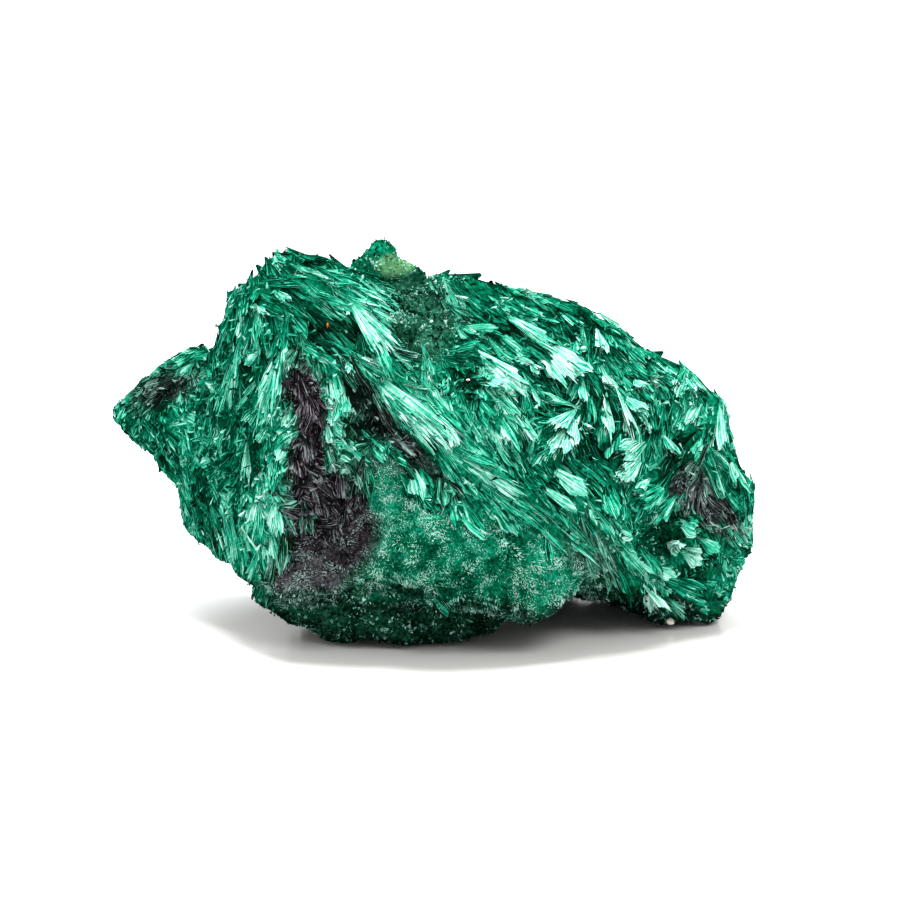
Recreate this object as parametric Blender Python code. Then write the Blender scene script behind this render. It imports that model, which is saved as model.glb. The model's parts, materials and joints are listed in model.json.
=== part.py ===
"""A fibrous malachite specimen: one natural stone, with its sprays of crystals grown into it.

The stone is sighted from the front. A point is given as (x, h, y): x across and h up as the front view
shows them, and y its depth behind the stone's middle plane, all in millimetres at the stone's real size.
"""

import math
import random
from typing import NamedTuple

import bmesh
import bpy
from mathutils import Matrix, Vector, noise
from mathutils.bvhtree import BVHTree

MM = 0.001

# The front view: how far off and how steeply down it looks, and where its middle meets the middle plane.
VIEW_DISTANCE = 300.0
VIEW_TILT = math.radians(10.0)
VIEW_X = 1.9
VIEW_H = 19.0
VIEW_Z = 17.6

# How finely the stone is fused and faceted.
LUMP_VOXEL = 0.8
SOFTENING = 2
CRYSTAL_VOXEL = 0.32
TRIANGLES = 9600

# Relief of the broken surface between the crystals, as sizes and heights of its unevenness.
ROUGH = ((8.0, 0.9), (3.2, 0.55))

# Crystals: how high a spray stands at its broken end, how deep it is rooted, and how broad one crystal is.
CRYSTAL_HEIGHT = 1.35
KEEL = 1.2
CRYSTAL_WIDTH = 1.1
FILLING_SPRAYS = 110
HIDDEN_SPRAYS = 190

# Where the front has no loose sprays: the apron and the dark base, as (x, h, radius).
BARE = [(-2.0, 9.0, 9.5), (8.0, 6.5, 8.0), (-13.0, 5.0, 5.0), (14.0, 6.0, 4.0)]

SKIN = (0.012, 0.27, 0.16, 1.0)


class Spray(NamedTuple):
    """A fan of crystals: its root and its broken end in the front view, and its width at that end."""

    x0: float
    h0: float
    x1: float
    h1: float
    width: float


class Hollow(NamedTuple):
    """A dent in the front of the stone: its place in the front view, radius and depth."""

    x: float
    h: float
    radius: float
    depth: float


# Each lump is the convex form of the points listed.
LUMPS = {
    "prow": [
        (-16.2, 36.0, -5), (-20.3, 34.3, -1), (-22.0, 31.2, 0), (-22.5, 27.6, 0), (-22.4, 22.0, -1),
        (-22.4, 15.0, -2), (-18.9, 6.3, -8), (-14.1, 29.0, -9), (-14.3, 20.0, -12.5), (-14.1, 12.0, -15),
        (-14.6, 4.4, -15.8), (-8.2, 37.2, -2), (-2.8, 32.4, -4), (-4.0, 8.0, -14), (-20.0, 14.0, 10),
        (-10.0, 10.0, 12), (-10.0, 35.6, 8), (0.0, 33.0, 8),
    ],
    "ridge": [
        (-8.6, 28.8, -9), (-3.1, 24.0, -11), (1.9, 19.5, -12.5), (9.9, 14.0, -14), (16.5, 8.2, -12),
        (21.2, 3.2, -8.5), (-14.0, 20.0, -11), (-13.5, 6.0, -14), (0.0, 8.0, -15), (10.0, 5.0, -14),
        (-8.0, 26.0, 0), (4.0, 20.0, 0), (20.0, 6.0, 0), (0.0, 8.0, 4), (0.0, 27.5, -8.0), (6.0, 22.5, -9.4),
        (13.0, 16.8, -10.4), (18.4, 11.0, -9.6),
    ],
    "apron": [
        (-14.3, 4.3, -16), (-9.1, 4.1, -17), (-4.0, 4.6, -17.5), (1.9, 2.8, -17.5), (9.9, 1.8, -16),
        (14.9, 3.8, -13), (19.5, 4.6, -9), (-13.0, 10.0, -16.5), (-3.0, 10.5, -18.5), (7.0, 8.5, -18.3),
        (13.0, 8.0, -15), (1.0, 16.0, -13.5), (-8.0, 6.0, 0), (12.0, 6.0, 0), (-5.0, 14.0, -4),
    ],
    "right_block": [
        (-0.1, 36.8, 4), (4.6, 35.8, 5), (9.9, 35.3, 5), (15.4, 33.2, 6), (21.2, 30.0, 6), (27.2, 27.2, 5),
        (30.0, 24.4, 4), (30.4, 19.0, 3), (32.2, 15.6, 3), (32.4, 10.0, 2), (31.4, 4.8, 1), (29.0, 1.9, -1),
        (22.9, 1.5, -3.5), (-0.1, 31.0, -3), (6.9, 24.0, -6.5), (12.9, 17.0, -8), (18.9, 12.0, -8),
        (21.9, 4.0, -7), (27.0, 8.0, -4.5), (5.0, 30.0, 15), (20.0, 26.0, 15), (28.0, 20.0, 11),
        (27.0, 5.0, 11), (8.0, 6.0, 17), (-6.0, 24.0, 16),
    ],
    "saddle": [
        (-4.0, 33.0, -4), (2.0, 33.5, -3), (7.0, 27.5, -7), (4.0, 24.0, -10.2), (9.5, 18.5, -12),
        (14.5, 13.5, -12.2), (18.5, 9.0, -11), (20.5, 6.0, -9), (-1.0, 26.0, -9.6), (0.0, 20.0, 0), (12.0, 10.0, 0),
        (20.0, 14.0, -7), (14.0, 22.0, -6),
    ],
    "left_lobe": [
        (-32.2, 22.9, 9), (-31.0, 24.2, 9), (-28.3, 26.5, 9), (-24.2, 29.4, 8), (-21.0, 29.8, 7), (-30.0, 19.4, 8),
        (-27.2, 16.2, 6), (-25.0, 12.2, 4), (-21.4, 9.2, 1), (-18.8, 7.0, -4), (-27.0, 22.0, 3.5),
        (-24.0, 20.0, 0.8), (-23.0, 14.0, -0.8), (-12.0, 28.0, 13), (-12.0, 11.0, 11), (-28.0, 24.0, 15),
        (-23.0, 15.0, 14),
    ],
    "back_shoulder": [
        (-18.8, 36.0, 4), (-16.8, 37.8, 6), (-15.2, 39.2, 7), (-14.0, 39.3, 7), (-11.4, 38.5, 7), (-8.0, 37.8, 6),
        (-20.0, 30.0, 9), (-10.0, 30.0, 16), (-17.0, 29.0, 15), (-14.0, 33.0, 0),
    ],
    "back_horn": [
        (-8.0, 37.8, 10), (-6.6, 40.0, 12), (-4.7, 40.0, 12), (-2.8, 38.5, 11), (0.2, 37.0, 9),
        (-9.0, 30.0, 8), (1.0, 30.0, 6), (-1.0, 29.0, 18), (-9.0, 29.0, 17),
    ],
    "back": [
        (-18.0, 26.0, 15), (-4.0, 28.0, 20), (14.0, 24.0, 19), (22.0, 14.0, 16), (12.0, 6.0, 18),
        (-6.0, 5.0, 17), (-17.0, 12.0, 14), (-10.0, 18.0, 0), (14.0, 16.0, 0),
    ],
    "upper_back": [
        (-17.0, 33.5, 10), (-7.0, 36.0, 14), (4.0, 34.0, 14), (14.0, 30.0, 13), (-17.0, 25.0, 17),
        (-4.0, 27.0, 22), (8.0, 24.0, 21), (-10.0, 24.0, 2), (10.0, 26.0, 4),
    ],
    "lower_back": [
        (-14.0, 16.0, 17), (2.0, 17.0, 21), (16.0, 13.0, 18), (-10.0, 7.0, 16), (8.0, 7.0, 17), (0.0, 10.0, 2),
    ],
    "neck": [
        (-24.0, 28.0, 7), (-16.0, 31.0, 9), (-23.0, 16.0, 5), (-16.0, 12.0, 6), (-18.0, 20.0, 16), (-14.0, 28.0, 16),
        (-17.0, 22.0, 0),
    ],
    "front_foot": [
        (-18.2, 4.4, -9), (-16.9, 2.2, -9), (-13.9, 0.8, -10), (-8.4, -0.4, -12), (-3.1, -0.6, -13.0),
        (2.2, -0.2, -12.5), (7.4, 1.6, -12), (-14.0, 8.0, -10), (8.0, 8.0, -10), (-10.0, -0.4, -2),
        (3.0, -0.4, -4), (-14.0, 8.0, 4), (6.0, 8.0, 4),
    ],
    "right_foot": [
        (22.0, 1.9, -3), (24.5, 1.3, -3), (28.0, 1.9, -1.5), (29.5, 4.0, 1), (20.0, 6.0, -5), (26.0, 1.0, 3),
        (22.0, 1.5, 3), (28.0, 8.0, 4), (20.0, 8.0, 6),
    ],
    "back_foot": [
        (-12.0, 1.0, 8), (-4.0, 1.0, 12), (5.0, 1.0, 8), (-9.0, 1.2, 4), (3.0, 1.2, 4), (-15.0, 12.0, 9),
        (9.0, 12.0, 9), (-4.0, 13.0, 19), (-12.0, 12.0, 0), (8.0, 12.0, 0),
    ],
    "belly": [
        (-12.0, 2.2, -7), (6.0, 2.2, -7), (-13.0, 5.6, 8), (10.0, 5.8, 8), (22.0, 4.8, 4), (-10.0, 12.0, 0),
        (16.0, 12.0, 0),
    ],
}

HOLLOWS = [
    Hollow(-11.0, 31.2, 2.4, 2.2),
    Hollow(-7.6, 29.8, 2.8, 2.6),
    Hollow(-5.6, 21.0, 3.2, 2.4),
    Hollow(-13.0, 17.5, 1.6, 1.4),
    Hollow(-5.2, 4.4, 2.8, 5.0),
    Hollow(-2.2, 4.0, 2.6, 4.5),
    Hollow(-7.8, 3.8, 1.8, 2.4),
    Hollow(14.0, 24.5, 2.2, 1.6),
    Hollow(9.4, 23.6, 1.8, 1.4),
    Hollow(10.0, 19.2, 2.2, 1.6),
    Hollow(22.8, 10.2, 2.8, 2.4),
    Hollow(25.5, 5.5, 2.6, 1.4),
    Hollow(20.5, 29.5, 1.6, 0.9),
    Hollow(-19.5, 17.5, 2.0, 1.2),
    Hollow(-19.0, 24.0, 1.4, 0.9),
]

SPRAYS = [
    # The field of steep fans on the right.
    Spray(6.5, 33.2, 12.5, 27.8, 1.8),
    Spray(9.2, 31.1, 14.1, 24.8, 3.8),
    Spray(3.7, 29.5, 9.3, 23.4, 2.6),
    Spray(4.7, 26.8, 9.2, 17.8, 3.0),
    Spray(13.3, 28.2, 15.1, 25.8, 1.4),
    Spray(14.6, 23.2, 11.4, 19.8, 1.6),
    Spray(14.2, 22.2, 11.7, 17.0, 1.8),
    Spray(16.9, 27.1, 16.7, 18.8, 1.0),
    Spray(15.7, 26.4, 15.3, 20.0, 1.2),
    Spray(17.9, 26.9, 19.6, 18.8, 1.2),
    Spray(16.5, 31.5, 16.7, 27.6, 1.0),
    Spray(17.6, 31.3, 18.6, 28.0, 1.1),
    Spray(24.4, 28.0, 23.6, 22.8, 1.5),
    Spray(25.4, 26.9, 26.4, 22.4, 1.0),
    Spray(28.7, 24.8, 25.7, 18.4, 1.8),
    Spray(22.1, 20.4, 16.5, 17.6, 2.6),
    Spray(21.4, 18.5, 17.9, 15.0, 1.8),
    Spray(22.0, 16.3, 19.3, 13.8, 0.9),
    Spray(23.8, 15.5, 19.8, 12.8, 3.0),
    Spray(11.2, 17.8, 15.6, 13.2, 2.0),
    Spray(10.0, 15.8, 17.0, 10.4, 1.6),
    Spray(8.8, 35.0, 10.2, 33.2, 1.2),
    Spray(11.7, 35.0, 16.0, 31.0, 2.2),
    Spray(16.7, 14.0, 20.3, 5.6, 2.4),
    Spray(21.2, 7.0, 21.8, 2.8, 1.6),
    Spray(22.6, 6.5, 27.0, 3.6, 2.6),
    Spray(24.2, 9.4, 26.2, 7.6, 1.6),
    Spray(28.4, 13.0, 30.6, 8.0, 2.0),
    Spray(20.5, 25.0, 20.9, 20.8, 1.6),
    Spray(22.5, 30.0, 21.6, 26.0, 1.6),
    # The silky curtains that hang from the cap.
    Spray(-13.9, 37.0, -7.9, 33.8, 2.8),
    Spray(-8.5, 34.4, -3.8, 27.8, 3.4),
    Spray(-9.6, 35.0, -2.9, 30.5, 2.2),
    Spray(-6.2, 31.8, -4.0, 24.8, 2.6),
    Spray(-8.3, 28.7, -4.6, 26.2, 1.2),
    Spray(-7.1, 27.4, 2.2, 19.0, 3.4),
    Spray(0.7, 22.8, 2.8, 18.5, 1.4),
    Spray(0.0, 20.0, 9.9, 14.0, 2.4),
    Spray(-15.2, 31.1, -8.5, 26.5, 1.2),
    # The face left of the front edge.
    Spray(-18.6, 34.0, -18.8, 29.5, 1.6),
    Spray(-17.5, 33.4, -16.7, 29.5, 1.4),
    Spray(-19.3, 34.0, -20.9, 29.5, 1.8),
    Spray(-21.8, 31.4, -22.2, 27.9, 1.0),
    Spray(-14.8, 30.5, -14.2, 26.2, 1.2),
    Spray(-19.5, 29.5, -20.9, 22.0, 2.4),
    Spray(-16.9, 26.8, -18.5, 23.2, 2.0),
    Spray(-16.1, 27.0, -16.3, 20.0, 2.6),
    Spray(-18.5, 20.3, -18.2, 15.2, 1.5),
    Spray(-21.9, 15.6, -19.2, 12.0, 2.2),
    Spray(-16.9, 16.0, -17.3, 9.5, 2.8),
    Spray(-15.1, 20.0, -15.5, 14.0, 1.8),
    # The dark fans beside the front edge, and the blade between them.
    Spray(-13.6, 27.6, -12.1, 20.0, 3.0),
    Spray(-13.0, 20.0, -11.5, 12.0, 3.2),
    Spray(-9.2, 21.8, -8.1, 14.0, 2.4),
    Spray(-9.1, 22.0, -0.5, 14.2, 2.2),
    Spray(-6.2, 24.0, 1.0, 16.0, 1.6),
]

# Where the fibres radiate from, as points in the stone (x, y, z).
GROWTH_CENTRES = [
    (-15.5, 0.0, 36.0),
    (6.0, 6.0, 37.0),
    (24.0, 4.0, 28.0),
    (-24.0, 10.0, 28.0),
    (0.0, 14.0, 30.0),
    (16.0, 12.0, 18.0),
    (-12.0, 8.0, 16.0),
]


def sight(x: float, h: float, y: float) -> Vector:
    """The point that the front view shows at x across and h up, at depth y."""
    across, up = x - VIEW_X, h - VIEW_H
    tilt_sin, tilt_cos = math.sin(VIEW_TILT), math.cos(VIEW_TILT)
    away = (y - up * tilt_sin) / (tilt_cos + up * tilt_sin / VIEW_DISTANCE)
    grow = 1.0 + away / VIEW_DISTANCE
    return Vector((VIEW_X + across * grow, y, VIEW_Z + up * grow * tilt_cos - away * tilt_sin))


def eye() -> Vector:
    """Where the front view is seen from."""
    return Vector((VIEW_X, -VIEW_DISTANCE * math.cos(VIEW_TILT), VIEW_Z + VIEW_DISTANCE * math.sin(VIEW_TILT)))


def add_hull(bm: bmesh.types.BMesh, points: list[Vector]) -> None:
    """Adds the convex form of the points."""
    verts = [bm.verts.new(point) for point in points]
    made = bmesh.ops.convex_hull(bm, input=verts)
    spare = [item for item in made["geom_interior"] + made["geom_unused"] if isinstance(item, bmesh.types.BMVert)]
    bmesh.ops.delete(bm, geom=list(set(spare)), context="VERTS")


def keep_largest(bm: bmesh.types.BMesh) -> None:
    """Removes all but the largest connected shell."""
    unseen = set(bm.verts)
    shells = []
    while unseen:
        stack = [unseen.pop()]
        shell = list(stack)
        while stack:
            for edge in stack.pop().link_edges:
                for vert in edge.verts:
                    if vert in unseen:
                        unseen.remove(vert)
                        stack.append(vert)
                        shell.append(vert)
        shells.append(shell)
    shells.sort(key=len)
    for shell in shells[:-1]:
        bmesh.ops.delete(bm, geom=shell, context="VERTS")


def fused(bm: bmesh.types.BMesh, voxel: float, share: float = 1.0) -> bmesh.types.BMesh:
    """The overlapping shapes of bm as one skin, thinned to a share of its faces."""
    mesh = bpy.data.meshes.new("fusing")
    bmesh.ops.recalc_face_normals(bm, faces=bm.faces)
    bm.to_mesh(mesh)
    bm.free()
    helper = bpy.data.objects.new("fusing", mesh)
    bpy.context.scene.collection.objects.link(helper)
    remesh = helper.modifiers.new("fuse", "REMESH")
    remesh.mode = "VOXEL"
    remesh.voxel_size = voxel
    if share < 1.0:
        thin = helper.modifiers.new("thin", "DECIMATE")
        thin.ratio = share
    graph = bpy.context.evaluated_depsgraph_get()
    out = bmesh.new()
    out.from_mesh(helper.evaluated_get(graph).to_mesh())
    bpy.data.objects.remove(helper)
    bpy.data.meshes.remove(mesh)
    keep_largest(out)
    out.normal_update()
    return out


def rough_body() -> bmesh.types.BMesh:
    """The lumps fused into one stone, softened a little, dented and broken rough."""
    bm = bmesh.new()
    for points in LUMPS.values():
        add_hull(bm, [sight(*point) for point in points])
    bm = fused(bm, LUMP_VOXEL)
    for _ in range(SOFTENING):
        bmesh.ops.smooth_vert(bm, verts=bm.verts, factor=0.5, use_axis_x=True, use_axis_y=True, use_axis_z=True)
    bm.normal_update()
    dent(bm)
    bm.normal_update()
    for vert in bm.verts:
        vert.co += vert.normal * sum(height * noise.noise(vert.co / size) for size, height in ROUGH)
    bm.normal_update()
    return bm


def dent(bm: bmesh.types.BMesh) -> None:
    """Presses the hollows into the front."""
    tree = BVHTree.FromBMesh(bm)
    start = eye()
    for hollow in HOLLOWS:
        ray = (sight(hollow.x, hollow.h, 0.0) - start).normalized()
        centre = tree.ray_cast(start, ray)[0]
        if centre is None:
            continue
        for vert in bm.verts:
            near = (vert.co - centre).length / hollow.radius
            if near < 1.0:
                vert.co += ray * hollow.depth * (1.0 - near * near) ** 2


def add_crystal(bm, tree: BVHTree, root: Vector, tip: Vector, width: float, height: float) -> None:
    """Lays one long crystal on the stone, from a narrow root to a chisel end that stands off the surface."""
    sections = []
    for along, broad, high in ((0.0, 0.3, 0.1), (0.5, 0.75, 0.5), (0.9, 1.0, 1.0), (1.0, 0.5, 0.35)):
        place, up, _, _ = tree.find_nearest(root.lerp(tip, along))
        side = (tip - root).cross(up).normalized() * width * broad / 2
        sections.append([
            place + up * height * high,
            place + side + up * height * high * 0.3,
            place - side + up * height * high * 0.3,
            place - up * KEEL,
        ])
    for first, second in zip(sections, sections[1:]):
        add_hull(bm, first + second)


def add_spray(bm, tree: BVHTree, rng, root: Vector, end: Vector, width: float, height: float) -> None:
    """Lays a fan of crystals that share a root."""
    count = max(1, min(4, round(width / CRYSTAL_WIDTH)))
    _, up, _, _ = tree.find_nearest(end)
    side = (end - root).cross(up).normalized()
    for index in range(count):
        place = (index + 0.5) / count - 0.5
        reach = 1.0 - 0.5 * abs(place) - rng.uniform(0.0, 0.2)
        tip = root + (end - root) * reach + side * place * width
        add_crystal(bm, tree, root, tip, 1.35 * width / count, height * rng.uniform(0.6, 1.15))


def front_place(tree: BVHTree, x: float, h: float) -> Vector | None:
    """The point of the stone that the front view shows at x across and h up, if there is one."""
    start = eye()
    return tree.ray_cast(start, (sight(x, h, 0.0) - start).normalized())[0]


def front_sprays(bm, tree: BVHTree, rng) -> None:
    """Lays the listed sprays on the front."""
    for spray in SPRAYS:
        root = front_place(tree, spray.x0, spray.h0)
        end = front_place(tree, spray.x1, spray.h1)
        if root is not None and end is not None:
            add_spray(bm, tree, rng, root, end, spray.width, CRYSTAL_HEIGHT)


def filling_sprays(bm, tree: BVHTree, rng) -> None:
    """Lays small sprays between the listed ones, each turned as its neighbours are."""
    made = 0
    while made < FILLING_SPRAYS:
        x, h = rng.uniform(-31.0, 32.0), rng.uniform(2.0, 38.0)
        if any(math.hypot(x - bare_x, h - bare_h) < radius for bare_x, bare_h, radius in BARE):
            continue
        flow_x, flow_h = 0.0, -0.001
        for spray in SPRAYS:
            far = math.hypot((spray.x0 + spray.x1) / 2 - x, (spray.h0 + spray.h1) / 2 - h)
            length = math.hypot(spray.x1 - spray.x0, spray.h1 - spray.h0)
            flow_x += (spray.x1 - spray.x0) / length / (1.0 + far ** 3)
            flow_h += (spray.h1 - spray.h0) / length / (1.0 + far ** 3)
        turn = math.atan2(flow_h, flow_x) + rng.uniform(-0.35, 0.35)
        length = rng.uniform(2.6, 5.2)
        root = front_place(tree, x, h)
        end = front_place(tree, x + length * math.cos(turn), h + length * math.sin(turn))
        if root is None or end is None or (end - root).length > 2.0 * length:
            continue
        add_spray(bm, tree, rng, root, end, length * rng.uniform(0.25, 0.5), 0.7 * CRYSTAL_HEIGHT)
        made += 1


def hidden_sprays(bm, body: bmesh.types.BMesh, tree: BVHTree, rng) -> None:
    """Lays sprays over the sides, top, back and underside, each running away from its growth centre."""
    start = eye()
    faces = [face for face in body.faces if face.normal.dot((start - face.calc_center_median()).normalized()) < 0.15]
    areas = [face.calc_area() for face in faces]
    for face in rng.choices(faces, areas, k=HIDDEN_SPRAYS):
        place, up = face.calc_center_median(), face.normal
        centre = min((Vector(point) for point in GROWTH_CENTRES), key=lambda point: (point - place).length)
        away = place - centre
        away = (away - up * away.dot(up)).normalized()
        away.rotate(Matrix.Rotation(rng.uniform(-0.5, 0.5), 3, up))
        length = rng.uniform(4.0, 8.5)
        root = place - away * length / 2
        end = place + away * length / 2
        if min(root.z, end.z) < 0.4:
            continue
        rim = abs(up.dot((start - place).normalized()))
        height = CRYSTAL_HEIGHT * (0.4 + 0.6 * min(1.0, rim / 0.5))
        add_spray(bm, tree, rng, root, end, length * rng.uniform(0.3, 0.55), height)


def cut_feet(bm: bmesh.types.BMesh) -> None:
    """Breaks the stone off flat where it rests, at z = 0."""
    everything = list(bm.verts) + list(bm.edges) + list(bm.faces)
    bmesh.ops.bisect_plane(bm, geom=everything, plane_co=(0, 0, 0), plane_no=(0, 0, -1), clear_outer=True, dist=1e-4)
    rim = [edge for edge in bm.edges if edge.is_boundary]
    bmesh.ops.holes_fill(bm, edges=rim)


def stone_material() -> bpy.types.Material:
    """Malachite green, with the dull silk gloss of packed fibres."""
    material = bpy.data.materials.new("malachite")
    material.use_nodes = True
    shader = material.node_tree.nodes["Principled BSDF"]
    shader.inputs["Base Color"].default_value = SKIN
    shader.inputs["Roughness"].default_value = 0.45
    shader.inputs["Metallic"].default_value = 0.0
    return material


def make_stone() -> bpy.types.Object:
    """The whole specimen, resting on z = 0 with its origin at the middle of its base."""
    rng = random.Random(11)
    body = rough_body()
    tree = BVHTree.FromBMesh(body)
    bm = body.copy()
    front_sprays(bm, tree, rng)
    filling_sprays(bm, tree, rng)
    hidden_sprays(bm, body, tree, rng)
    body.free()
    bm = fused(bm, CRYSTAL_VOXEL)
    share = TRIANGLES / (2.0 * len(bm.faces))
    bm = fused(bm, CRYSTAL_VOXEL, share)
    cut_feet(bm)
    keep_largest(bm)
    xs = [vert.co.x for vert in bm.verts]
    ys = [vert.co.y for vert in bm.verts]
    middle = Vector(((min(xs) + max(xs)) / 2, (min(ys) + max(ys)) / 2, 0.0))
    bmesh.ops.translate(bm, verts=bm.verts, vec=-middle)
    bmesh.ops.scale(bm, verts=bm.verts, vec=(MM, MM, MM))
    bmesh.ops.recalc_face_normals(bm, faces=bm.faces)
    mesh = bpy.data.meshes.new("malachite")
    bm.to_mesh(mesh)
    bm.free()
    mesh.materials.append(stone_material())
    stone = bpy.data.objects.new("malachite", mesh)
    bpy.context.scene.collection.objects.link(stone)
    return stone


def main() -> None:
    """Clears the scene and makes the stone."""
    for item in list(bpy.data.objects):
        bpy.data.objects.remove(item)
    make_stone()


main()
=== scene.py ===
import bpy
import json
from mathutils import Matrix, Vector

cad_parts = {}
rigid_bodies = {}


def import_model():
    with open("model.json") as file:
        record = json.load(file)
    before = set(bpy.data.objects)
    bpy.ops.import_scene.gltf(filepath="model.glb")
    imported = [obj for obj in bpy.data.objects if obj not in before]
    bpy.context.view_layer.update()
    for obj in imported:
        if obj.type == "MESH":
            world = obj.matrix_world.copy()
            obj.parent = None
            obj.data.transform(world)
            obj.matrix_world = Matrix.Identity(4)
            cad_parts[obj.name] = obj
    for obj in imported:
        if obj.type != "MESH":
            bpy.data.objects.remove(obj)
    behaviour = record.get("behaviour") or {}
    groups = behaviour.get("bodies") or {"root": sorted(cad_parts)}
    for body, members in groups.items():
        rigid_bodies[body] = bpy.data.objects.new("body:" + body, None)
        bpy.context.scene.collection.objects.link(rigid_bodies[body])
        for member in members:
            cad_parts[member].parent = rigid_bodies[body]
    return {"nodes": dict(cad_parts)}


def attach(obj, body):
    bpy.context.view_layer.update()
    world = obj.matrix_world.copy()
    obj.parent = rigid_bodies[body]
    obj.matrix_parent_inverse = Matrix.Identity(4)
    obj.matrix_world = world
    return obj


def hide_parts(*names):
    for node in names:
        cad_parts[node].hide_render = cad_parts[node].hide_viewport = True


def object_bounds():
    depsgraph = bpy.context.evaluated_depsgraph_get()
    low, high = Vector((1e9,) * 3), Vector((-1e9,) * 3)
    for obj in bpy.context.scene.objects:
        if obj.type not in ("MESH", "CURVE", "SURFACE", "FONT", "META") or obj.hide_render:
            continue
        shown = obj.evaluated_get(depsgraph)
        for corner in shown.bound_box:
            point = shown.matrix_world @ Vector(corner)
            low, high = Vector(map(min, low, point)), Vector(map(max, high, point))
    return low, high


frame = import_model()

"""A fibrous malachite specimen: the stone's skin and the needles that grow in fans all over it.

The front of the stone is described in the front view, as x across and h up in millimetres.
"""

import json
import logging
import math
from dataclasses import dataclass, field
from enum import Enum
from typing import NamedTuple

import bmesh
import bpy
import numpy as np
from mathutils import Vector, noise
from mathutils.bvhtree import BVHTree

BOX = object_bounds()

MM = 0.001
SEED = 23

# Without a set seed, the noise that curls the bristles would differ in each run.
noise.seed_set(SEED)

# How far the middle of the part's base lies from the point under the front view's aim, in millimetres.
MIDDLE_X = -0.16
MIDDLE_Y = 1.54

log = logging.getLogger("malachite")
logging.basicConfig(level=logging.INFO, format="%(message)s")


class Fan(NamedTuple):
    """A fan of needles in the front view: root, broken end, width at that end, and paleness (0 to 1), which
    is partly the fibres' own pale colour and partly their silky sheen, painted in.
    """

    x0: float
    h0: float
    x1: float
    h1: float
    width: float
    tone: float


class Patch(NamedTuple):
    """A soft-edged area of the front view with its own colour, except the small dark ones in the gaps between
    fans, which paint shadow: how pale, how violet, how yellow.
    """

    x: float
    h: float
    half_width: float
    half_height: float
    turn: float
    tone: float
    violet: float
    yellow: float = 0.0


def from_middle(seen: np.ndarray, area: "Patch | Zone") -> tuple[np.ndarray, np.ndarray]:
    """How far places lie from a turned area's middle, along its two axes.

    Args:
        seen: n by 2 places of the front view.
        area: a patch or a zone.

    Returns:
        Two sets of n distances, each 1 at the area's edge.
    """
    turn = math.radians(area.turn)
    across, up = seen[:, 0] - area.x, seen[:, 1] - area.h
    side = (across * math.cos(turn) - up * math.sin(turn)) / area.half_width
    rise = (across * math.sin(turn) + up * math.cos(turn)) / area.half_height
    return side, rise


class Form(Enum):
    """The forms that a splinter of crystal has, by the order of their templates."""

    BLADE = 0
    SPLIT_BLADE = 1
    CHISEL = 2
    NEEDLE = 3
    BROAD_PLATE = 4
    TORN_PLATE = 5
    RIDGED_PLATE = 6


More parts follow.
